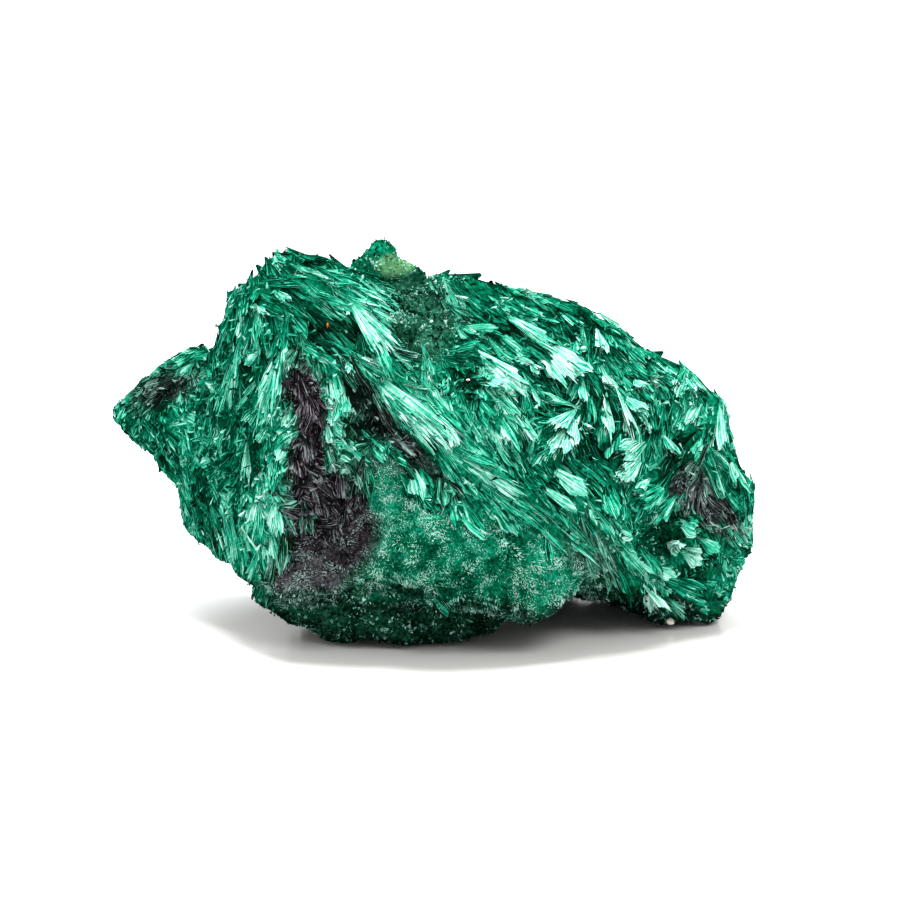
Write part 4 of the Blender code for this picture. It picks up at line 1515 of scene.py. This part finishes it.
@dataclass
class FillingFans(NeedleCoat):
    """Small needles of one kind that cover some of the ground."""

    evenness: float = 0.6
    full_height: float = 0.012

    def flow(self, seen: np.ndarray) -> np.ndarray:
        """The way the large fans run near places of the front view.

        Args:
            seen: n by 2 places.

        Returns:
            n angles.
        """
        total = np.zeros((len(seen), 2))
        for fan in LISTED_FANS:
            middle = np.array([(fan.x0 + fan.x1) / 2, (fan.h0 + fan.h1) / 2])
            way = np.array([fan.x1 - fan.x0, fan.h1 - fan.h0])
            near = 1.0 / (1.0 + np.linalg.norm(seen - middle, axis=1) ** 3)
            total += near[:, None] * way / np.linalg.norm(way)
        return np.arctan2(total[:, 1], total[:, 0])

    def spots(self, count: int) -> tuple[np.ndarray, np.ndarray]:
        """Random places all over the skin.

        Args:
            count: how many.

        Returns:
            The places and the normals there.
        """
        polygons = self.stone.mesh.polygons
        areas = np.zeros(len(polygons))
        centres, normals = np.zeros((len(polygons), 3)), np.zeros((len(polygons), 3))
        polygons.foreach_get("area", areas)
        polygons.foreach_get("center", centres.reshape(-1))
        polygons.foreach_get("normal", normals.reshape(-1))
        order = np.lexsort(np.rint(centres * 1e6).T)
        areas, centres, normals = areas[order], centres[order], normals[order]
        picked = self.rng.choice(len(areas), size=count, p=areas / areas.sum())
        spread = self.rng.normal(0.0, 0.5 * self.stone.fineness, (count, 3))
        spread -= normals[picked] * np.sum(spread * normals[picked], axis=1)[:, None]
        return centres[picked] + spread, normals[picked]

    def chances(self, count: int) -> np.ndarray:
        """Draws that many even chances from 0 to 1."""
        return self.rng.uniform(0.0, 1.0, count)

    def short_of_ground(self, height: float) -> float:
        """How much of its length a fan keeps near the ground, from its height in metres."""
        return min(1.0, 0.35 + height / self.full_height)

    def along_skin(self, way: np.ndarray, normal: np.ndarray) -> np.ndarray:
        """A direction laid flat on the skin.

        Args:
            way: the direction.
            normal: the skin's normal.

        Returns:
            The unit direction.
        """
        flat = way - normal * (way @ normal)
        return flat / (np.linalg.norm(flat) + 1e-9)


# Ground where only short needles or crumbs grow.
SHORT_GROUND = (Ground.VELVET, Ground.MOSS, Ground.CRUST)


class Spray(NamedTuple):
    """The small fans of one ground: ranges of length in millimetres, width for its length, and counts."""

    lengths: tuple
    slenderness: tuple
    blades: tuple
    needles: tuple
    breadth: float


# The last value is the broadest that a blade gets, in metres.
SPRAYS = {
    Ground.SILK: Spray((4.0, 8.0), (0.08, 0.16), (1, 2), (9, 15), 0.00018),
    Ground.CHUNKS: Spray((1.3, 3.4), (0.30, 0.55), (1, 4), (2, 5), 0.00032),
    Ground.SPLINTERS: Spray((2.6, 6.2), (0.18, 0.36), (1, 4), (5, 10), 0.00032),
}

# Where the sprays of the hidden sides spread from, inside the stone.
GROWTH_CENTRES = np.array([
    (-15.5, 0.0, 36.0), (6.0, 6.0, 37.0), (24.0, 4.0, 28.0), (-24.0, 10.0, 28.0), (0.0, 14.0, 30.0),
    (16.0, 12.0, 18.0), (-12.0, 8.0, 16.0),
]) * MM


@dataclass
class FrontFilling(FillingFans):
    """Small fans on the front, turned as the large fans near them are."""

    thick: float = 0.00011
    lifts: tuple = (0.0001, 0.0006)

    def grow(self, spots: int, left: float, right: float) -> None:
        """Grows fans on the front between two places across.

        Args:
            spots: how many places to try over the whole skin.
            left: the lowest x.
            right: the highest x.
        """
        places, normals = self.spots(spots)
        seen, front = VIEW.seen(places), facing(places, normals)
        keep = (front > 0.02) & (seen[:, 0] >= left) & (seen[:, 0] < right)
        for kind in SHORT_GROUND:
            keep &= self.chances(spots) > ground_share(seen, kind)
        keep &= self.chances(spots) > 0.93 * self.covered(seen)
        keep &= self.chances(spots) > underside_share(places, normals)
        keep &= self.chances(spots) < 0.5 + 0.5 * ground_share(seen, Ground.CHUNKS)
        places, normals, seen = places[keep], normals[keep], seen[keep]
        silk, chunks = ground_share(seen, Ground.SILK), ground_share(seen, Ground.CHUNKS)
        turns = self.flow(seen) + lumpy(places, 0.0045) * (0.9 - 0.7 * silk + 1.2 * chunks)
        turns += self.rng.normal(0.0, 0.10, len(seen)) * (1.0 + 3.0 * chunks)
        values = self.stone.colouring.at(places, normals)
        # Fans left of x = -14 are a little darker: painted shade on the left face.
        values[:, 0] = self.shaded(values[:, 0], silk) - 0.05 * (seen[:, 0] < -14.0)
        upward = np.array(VIEW.upward())
        inner = np.clip(front[keep] * 2.4, self.least_at_rim, 1.0)
        for index, (place, normal) in enumerate(zip(places, normals)):
            turn = turns[index]
            way = np.array([math.cos(turn), 0.0, 0.0]) + upward * math.sin(turn)
            way = self.along_skin(way, normal)
            kind = Ground.CHUNKS if chunks[index] > 0.5 else Ground.SPLINTERS
            spray = SPRAYS[Ground.SILK if silk[index] > 0.5 else kind]
            length, slender = self.rng.uniform(*spray.lengths) * MM, self.rng.uniform(*spray.slenderness)
            blades = int(self.rng.integers(*spray.blades))
            needles = int(self.rng.integers(*spray.needles))
            length *= (0.2 + 0.8 * inner[index]) * self.short_of_ground(place[2])
            slender *= 0.5 + 0.5 * inner[index]
            self.broadest = spray.breadth
            root = place - way * length * 0.5
            lift = self.rng.uniform(*self.lifts) * inner[index]
            self.add_fan(root, root + way * length, normal, length * slender, blades, needles, lift,
                         values[index], self.thick, self.evenness, 1)
        self.settle(0.00006)

    def shaded(self, tones: np.ndarray, silk: np.ndarray) -> np.ndarray:
        """Spreads the tones of the fans, so that dark, middle and pale ones lie side by side.

        Args:
            tones: n tones of the places.
            silk: n shares of silky ground, where the tones differ less.

        Returns:
            n tones.
        """
        chance = self.chances(len(tones))
        step = np.select([chance < 0.48, chance < 0.90], [-0.14, 0.02], 0.20)
        pale = np.where(tones > 0.24, step, np.minimum(step, 0.0))
        return tones * 0.93 + pale * (1.0 - 0.45 * silk) + self.rng.normal(0.0, 0.04, len(tones))

    def covered(self, seen: np.ndarray) -> np.ndarray:
        """Whether a large fan lies over places of the front view.

        Args:
            seen: n by 2 places.

        Returns:
            n values, 0 or 1.
        """
        inside = np.zeros(len(seen))
        for fan in LISTED_FANS:
            root, way = np.array([fan.x0, fan.h0]), np.array([fan.x1 - fan.x0, fan.h1 - fan.h0])
            length = np.linalg.norm(way)
            way = way / length
            along = (seen - root) @ way / length
            across = np.abs((seen - root) @ np.array([-way[1], way[0]]))
            within = (along > 0.1) & (along < 0.95) & (across < fan.width * along * 0.5)
            inside = np.maximum(inside, within)
        return inside


@dataclass
class HiddenFilling(FillingFans):
    """Small fans on the sides, top, back and underside, running away from the nearest growth centre."""

    thick: float = 0.00015
    spray: Spray = Spray((3.0, 6.5), (0.25, 0.45), (1, 3), (2, 5), 0.00046)
    lifts: tuple = (0.0002, 0.0007)
    pale_share: float = 0.3

    def grow(self, spots: int, share: int, shares: int) -> None:
        """Grows fans where the front view doesn't show the stone.

        Args:
            spots: how many places to try over the whole skin.
            share: which part of them this piece grows.
            shares: how many parts there are.
        """
        places, normals = self.spots(spots)
        front = facing(places, normals)
        keep = (front <= 0.02) & (places[:, 2] > 0.0006)
        keep &= np.arange(spots) % shares == share
        keep &= self.chances(spots) > underside_share(places, normals)
        places, normals = places[keep], normals[keep]
        values = self.stone.colouring.at(places, normals)
        pale = self.chances(len(places)) < self.pale_share
        values[:, 0] = values[:, 0] * 0.8 + pale * self.rng.uniform(0.1, 0.4, len(places))
        outer = np.clip(-front[keep] * 2.4, self.least_at_rim, 1.0)
        self.broadest = self.spray.breadth
        for place, normal, value, away in zip(places, normals, values, outer):
            centre = GROWTH_CENTRES[np.argmin(np.linalg.norm(GROWTH_CENTRES - place, axis=1))]
            way = self.along_skin(place - centre + self.rng.normal(0.0, 0.002, 3), normal)
            length = self.rng.uniform(*self.spray.lengths) * MM
            length *= (0.2 + 0.8 * away) * self.short_of_ground(place[2])
            root = place - way * length * 0.5
            width = length * self.rng.uniform(*self.spray.slenderness) * (0.5 + 0.5 * away)
            blades = int(self.rng.integers(*self.spray.blades))
            needles = int(self.rng.integers(*self.spray.needles))
            lift = self.rng.uniform(*self.lifts) * away
            self.add_fan(root, root + way * length, normal, width, blades, needles, lift, value,
                         self.thick, self.evenness, 1)
        self.settle(0.00008)


@dataclass
class Velvet(FillingFans):
    """The apron's nap of short curled bristles."""

    # The share of bristles painted paler, as the nap's sparkle.
    bright_share: float = 0.11
    lengths: tuple = (0.00020, 0.00050)
    widths: tuple = (0.00006, 0.00011)
    least_lean: float = 0.25
    sink: float = 0.00008

    def grow(self, spots: int) -> None:
        """Grows bristles over the apron.

        Args:
            spots: how many places to try over the whole skin.
        """
        places, normals = self.spots(spots)
        soft = ground_share(VIEW.seen(places), Ground.VELVET)
        keep = (facing(places, normals) > -0.1) & (self.chances(spots) < soft)
        places, normals = places[keep], normals[keep]
        count = len(places)
        values = self.stone.colouring.at(places, normals)
        bright = self.chances(count) < self.bright_share
        # Paler on the skin's raised lumps and darker in its hollows, by the same noise that raised them:
        # painted light and shade of the nap's clumps.
        clumps = 0.15 + 0.95 * lumpy(places, 0.0011)
        values[:, 0] = values[:, 0] * 0.9 + clumps + self.rng.normal(0.0, 0.12, count)
        # Some bristles are paler: painted sparkle of the nap.
        values[:, 0] += bright * self.rng.uniform(0.06, 0.28, count) * (1.0 - values[:, 1])
        curl = np.array([noise.noise_vector(Vector(place) / 0.0016) for place in places])
        ways = self.rng.normal(0.0, 0.45, (count, 3)) + 2.2 * curl + normals * 0.5
        ways = leaned_out(ways, normals, self.least_lean)
        lengths = self.rng.uniform(*self.lengths, count) * np.where(bright, 1.2, 1.0)
        ends = places + ways * lengths[:, None]
        widths = self.rng.uniform(*self.widths, count)
        forms = np.full(count, Form.NEEDLE.value)
        self.needles.add(places - normals * self.sink, ends, normals, widths, values, forms)


@dataclass
class Crumbs(FillingFans):
    """Stubby broken crystals and slim ones in the granular hollows and on the mossy base."""

    stubby_share: float = 0.5
    stubby_lengths: tuple = (0.00025, 0.0006)
    stubby_widths: tuple = (0.00018, 0.00042)
    slim_lengths: tuple = (0.00025, 0.0007)
    slim_widths: tuple = (0.00009, 0.00018)
    least_lean: float = 0.2

    def grow(self, spots: int) -> None:
        """Grows crumbs over the granular and mossy ground.

        Args:
            spots: how many places to try over the whole skin.
        """
        places, normals = self.spots(spots)
        seen, front = VIEW.seen(places), facing(places, normals)
        grain = np.maximum(ground_share(seen, Ground.CRUST), ground_share(seen, Ground.MOSS))
        grain *= front > -0.1
        grain = np.maximum(grain, 0.7 * underside_share(places, normals))
        keep = (self.chances(spots) < grain) & (places[:, 2] > self.stone.resting)
        places, normals = places[keep], normals[keep]
        count = len(places)
        values = self.stone.colouring.at(places, normals)
        values[:, 0] += lumpy(places, 0.0017) + self.rng.normal(-0.03, 0.19, count)
        ways = self.rng.normal(0.0, 1.0, (count, 3)) + normals * 0.6
        ways = leaned_out(ways, normals, self.least_lean)
        stubby = self.chances(count) < self.stubby_share
        stubby_lengths = self.rng.uniform(*self.stubby_lengths, count)
        lengths = np.where(stubby, stubby_lengths, self.rng.uniform(*self.slim_lengths, count))
        stubby_widths = self.rng.uniform(*self.stubby_widths, count)
        widths = np.where(stubby, stubby_widths, self.rng.uniform(*self.slim_widths, count))
        forms = np.where(stubby, self.rng.integers(0, 3, count), Form.NEEDLE.value)
        lengths *= np.clip(np.abs(front[keep]) * 3.0, 0.4, 1.0)
        ends = places + ways * lengths[:, None]
        self.needles.add(places - normals * self.sink, ends, normals, widths, values, forms)


@dataclass
class Grit(FillingFans):
    """Broken bits of needle that lie on and between the fans of the front."""

    lengths: tuple = (0.0004, 0.0011)
    widths: tuple = (0.00018, 0.00042)
    heights: tuple = (0.0, 0.0006)

    def grow(self, spots: int) -> None:
        """Strews bits over the fans.

        Args:
            spots: how many places to try over the whole skin.
        """
        places, normals = self.spots(spots)
        seen = VIEW.seen(places)
        keep = facing(places, normals) > 0.15
        for kind in SHORT_GROUND:
            keep &= ground_share(seen, kind) < 0.5
        keep &= self.chances(spots) > 0.6 * ground_share(seen, Ground.SILK)
        keep &= self.chances(spots) > underside_share(places, normals)
        places, normals, seen = places[keep], normals[keep], seen[keep]
        count = len(places)
        values = self.stone.colouring.at(places, normals)
        values[:, 0] = values[:, 0] * 0.9 + self.rng.normal(-0.04, 0.18, count)
        turns = self.flow(seen) + self.rng.normal(0.0, 0.8, count)
        ways = np.cos(turns)[:, None] * np.array([1.0, 0.0, 0.0])
        ways += np.sin(turns)[:, None] * np.array(VIEW.upward())
        ways += normals * self.rng.uniform(-0.1, 0.9, count)[:, None]
        ways /= np.linalg.norm(ways, axis=1)[:, None]
        starts = places + normals * self.rng.uniform(*self.heights, count)[:, None]
        lengths = self.rng.uniform(*self.lengths, count)
        widths = self.rng.uniform(*self.widths, count)
        forms = self.rng.integers(0, 3, count)
        self.needles.add(starts, starts + ways * lengths[:, None], normals, widths, values, forms)


@dataclass(frozen=True)
class GrainFinish:
    """A grain's own plain colour."""

    name: str
    colour: tuple

    def material(self) -> bpy.types.Material:
        """The finish as a material.

        Returns:
            The material.
        """
        made, _, shader = blank(self.name)
        shader.inputs["Base Color"].default_value = self.colour
        shader.inputs["Roughness"].default_value = 0.5
        return made


@dataclass
class Grains:
    """The few foreign grains caught between the needles: one rusty, the others pale quartz.

    The thickness is half a grain's size towards the front, in millimetres.
    """

    stone: Stone
    name: str
    rusty: bool
    colour: tuple
    thickness: float
    bumpiness: float = 0.45

    def dress(self) -> bpy.types.Object:
        """Sets the grains on the skin.

        Returns:
            Their object.
        """
        bm = bmesh.new()
        for grain in GRAINS:
            spot = self.stone.shown(grain.x, grain.h)
            if spot is None or grain.rusty is not self.rusty:
                continue
            side = Vector((1.0, 0.0, 0.0)) * grain.half_width
            rise = VIEW.upward() * grain.half_height
            deep = VIEW.forward() * self.thickness
            middle = spot[0] - deep * MM
            for vertex in bmesh.ops.create_icosphere(bm, subdivisions=1, radius=1.0)["verts"]:
                lump = noise.noise(vertex.co * 1.7 + Vector((grain.x, grain.h, 0.0)))
                x, y, z = vertex.co * (1.0 + self.bumpiness * lump) * MM
                vertex.co = middle + side * x + rise * y + deep * z
        bmesh.ops.recalc_face_normals(bm, faces=bm.faces)
        mesh = bpy.data.meshes.new(self.name)
        bm.to_mesh(mesh)
        bm.free()
        mesh.materials.append(GrainFinish(self.name, self.colour).material())
        return put(self.name, mesh)


@dataclass(frozen=True)
class Setting:
    """The white table, the soft light and the camera."""

    half_table: float = 3.0
    lit: tuple = (0.0, 0.0, 0.015)

    def table(self) -> bpy.types.Object:
        """The table top.

        Returns:
            Its object.
        """
        mesh = bpy.data.meshes.new("table top")
        reach = self.half_table
        corners = [(-reach, -reach, 0.0), (reach, -reach, 0.0), (reach, reach, 0.0), (-reach, reach, 0.0)]
        mesh.from_pydata(corners, [], [(0, 1, 2, 3)])
        mesh.materials.append(FloorFinish().material())
        top = bpy.data.objects.new("table top", mesh)
        bpy.context.scene.collection.objects.link(top)
        return top

    def lamp(self, name: str, place: tuple, size: float, power: float) -> None:
        """Adds a square soft light that points at the stone.

        Args:
            name: its name.
            place: where it hangs, in metres.
            size: its side.
            power: its power in watts.
        """
        light = bpy.data.lights.new(name, "AREA")
        light.size = size
        light.energy = power
        made = bpy.data.objects.new(name, light)
        made.location = place
        made.rotation_mode = "QUATERNION"
        made.rotation_quaternion = (Vector(self.lit) - Vector(place)).to_track_quat("-Z", "Y")
        bpy.context.scene.collection.objects.link(made)

    def light(self) -> None:
        """The light tent: a bright surround, a key from above and a fill from the upper right front."""
        world = bpy.data.worlds.new("tent")
        world.use_nodes = True
        surround = world.node_tree.nodes["Background"]
        surround.inputs["Color"].default_value = (1.0, 1.0, 1.0, 1.0)
        surround.inputs["Strength"].default_value = 1.0
        bpy.context.scene.world = world
        self.lamp("key", (-0.04, 0.06, 0.40), 0.14, 3.0)
        self.lamp("fill", (0.14, -0.32, 0.34), 0.2, 1.5)

    def camera(self) -> None:
        """The camera at the front view's eye."""
        data = bpy.data.cameras.new("camera")
        data.lens = VIEW.lens
        data.sensor_width = VIEW.sensor
        data.clip_start = 0.01
        camera = bpy.data.objects.new("camera", data)
        camera.location = VIEW.eye()
        camera.rotation_mode = "QUATERNION"
        camera.rotation_quaternion = VIEW.forward().to_track_quat("-Z", "Y")
        bpy.context.scene.collection.objects.link(camera)
        bpy.context.scene.camera = camera
        bpy.context.scene.view_settings.view_transform = "Standard"


def main() -> None:
    """Builds the specimen's pieces in order and reports each."""
    setting = Setting()
    setting.camera()
    setting.light()
    setting.table()
    stone = Stone(Colouring())
    stone.dress()
    silk = NeedleFinish("silky needles")
    field_fans = ListedFans(stone, "field_fans", silk, tallest=0.0024, seed=1, spread=1.28)
    field_fans.grow(FIELD_FANS, 14.0, 0.0020, 0.5, 1.3)
    field_fans.dress()
    curtains = ListedFans(stone, "curtains", silk, seed=2, paleness=0.72)
    curtains.grow(CURTAIN_FANS, 26.0, 0.0008, 0.8, 0.6)
    curtains.dress()
    # The left face's fans are less pale than the field's: painted shade on the left face.
    left_fans = ListedFans(stone, "left_fans", silk, seed=3, paleness=0.66)
    left_fans.grow(LEFT_FANS + DARK_FANS, 14.0, 0.0009, 0.6, 0.9)
    left_fans.dress()
    for index, (left, right) in enumerate(((-40.0, -2.0), (-2.0, 40.0))):
        filling = FrontFilling(stone, f"front_filling_{index + 1}", silk, seed=10 + index)
        filling.grow(13000, left, right)
        filling.dress()
    for index in range(2):
        hidden = HiddenFilling(stone, f"hidden_filling_{index + 1}", silk, seed=20 + index)
        hidden.grow(3800, index, 2)
        hidden.dress()
    velvet = Velvet(stone, "velvet", NeedleFinish("velvet bristles", roughness=0.42), seed=30)
    velvet.grow(270000)
    velvet.dress()
    crumbs = Crumbs(stone, "crumbs", silk, seed=40)
    crumbs.grow(58000)
    crumbs.dress()
    grit = Grit(stone, "grit", silk, seed=50)
    grit.grow(9000)
    grit.dress()
    Grains(stone, "rusty_grain", True, (0.80, 0.17, 0.02, 1.0), 0.95).dress()
    Grains(stone, "quartz_grains", False, (0.85, 0.72, 0.66, 1.0), 0.35).dress()


if __name__ == "__main__":
    main()
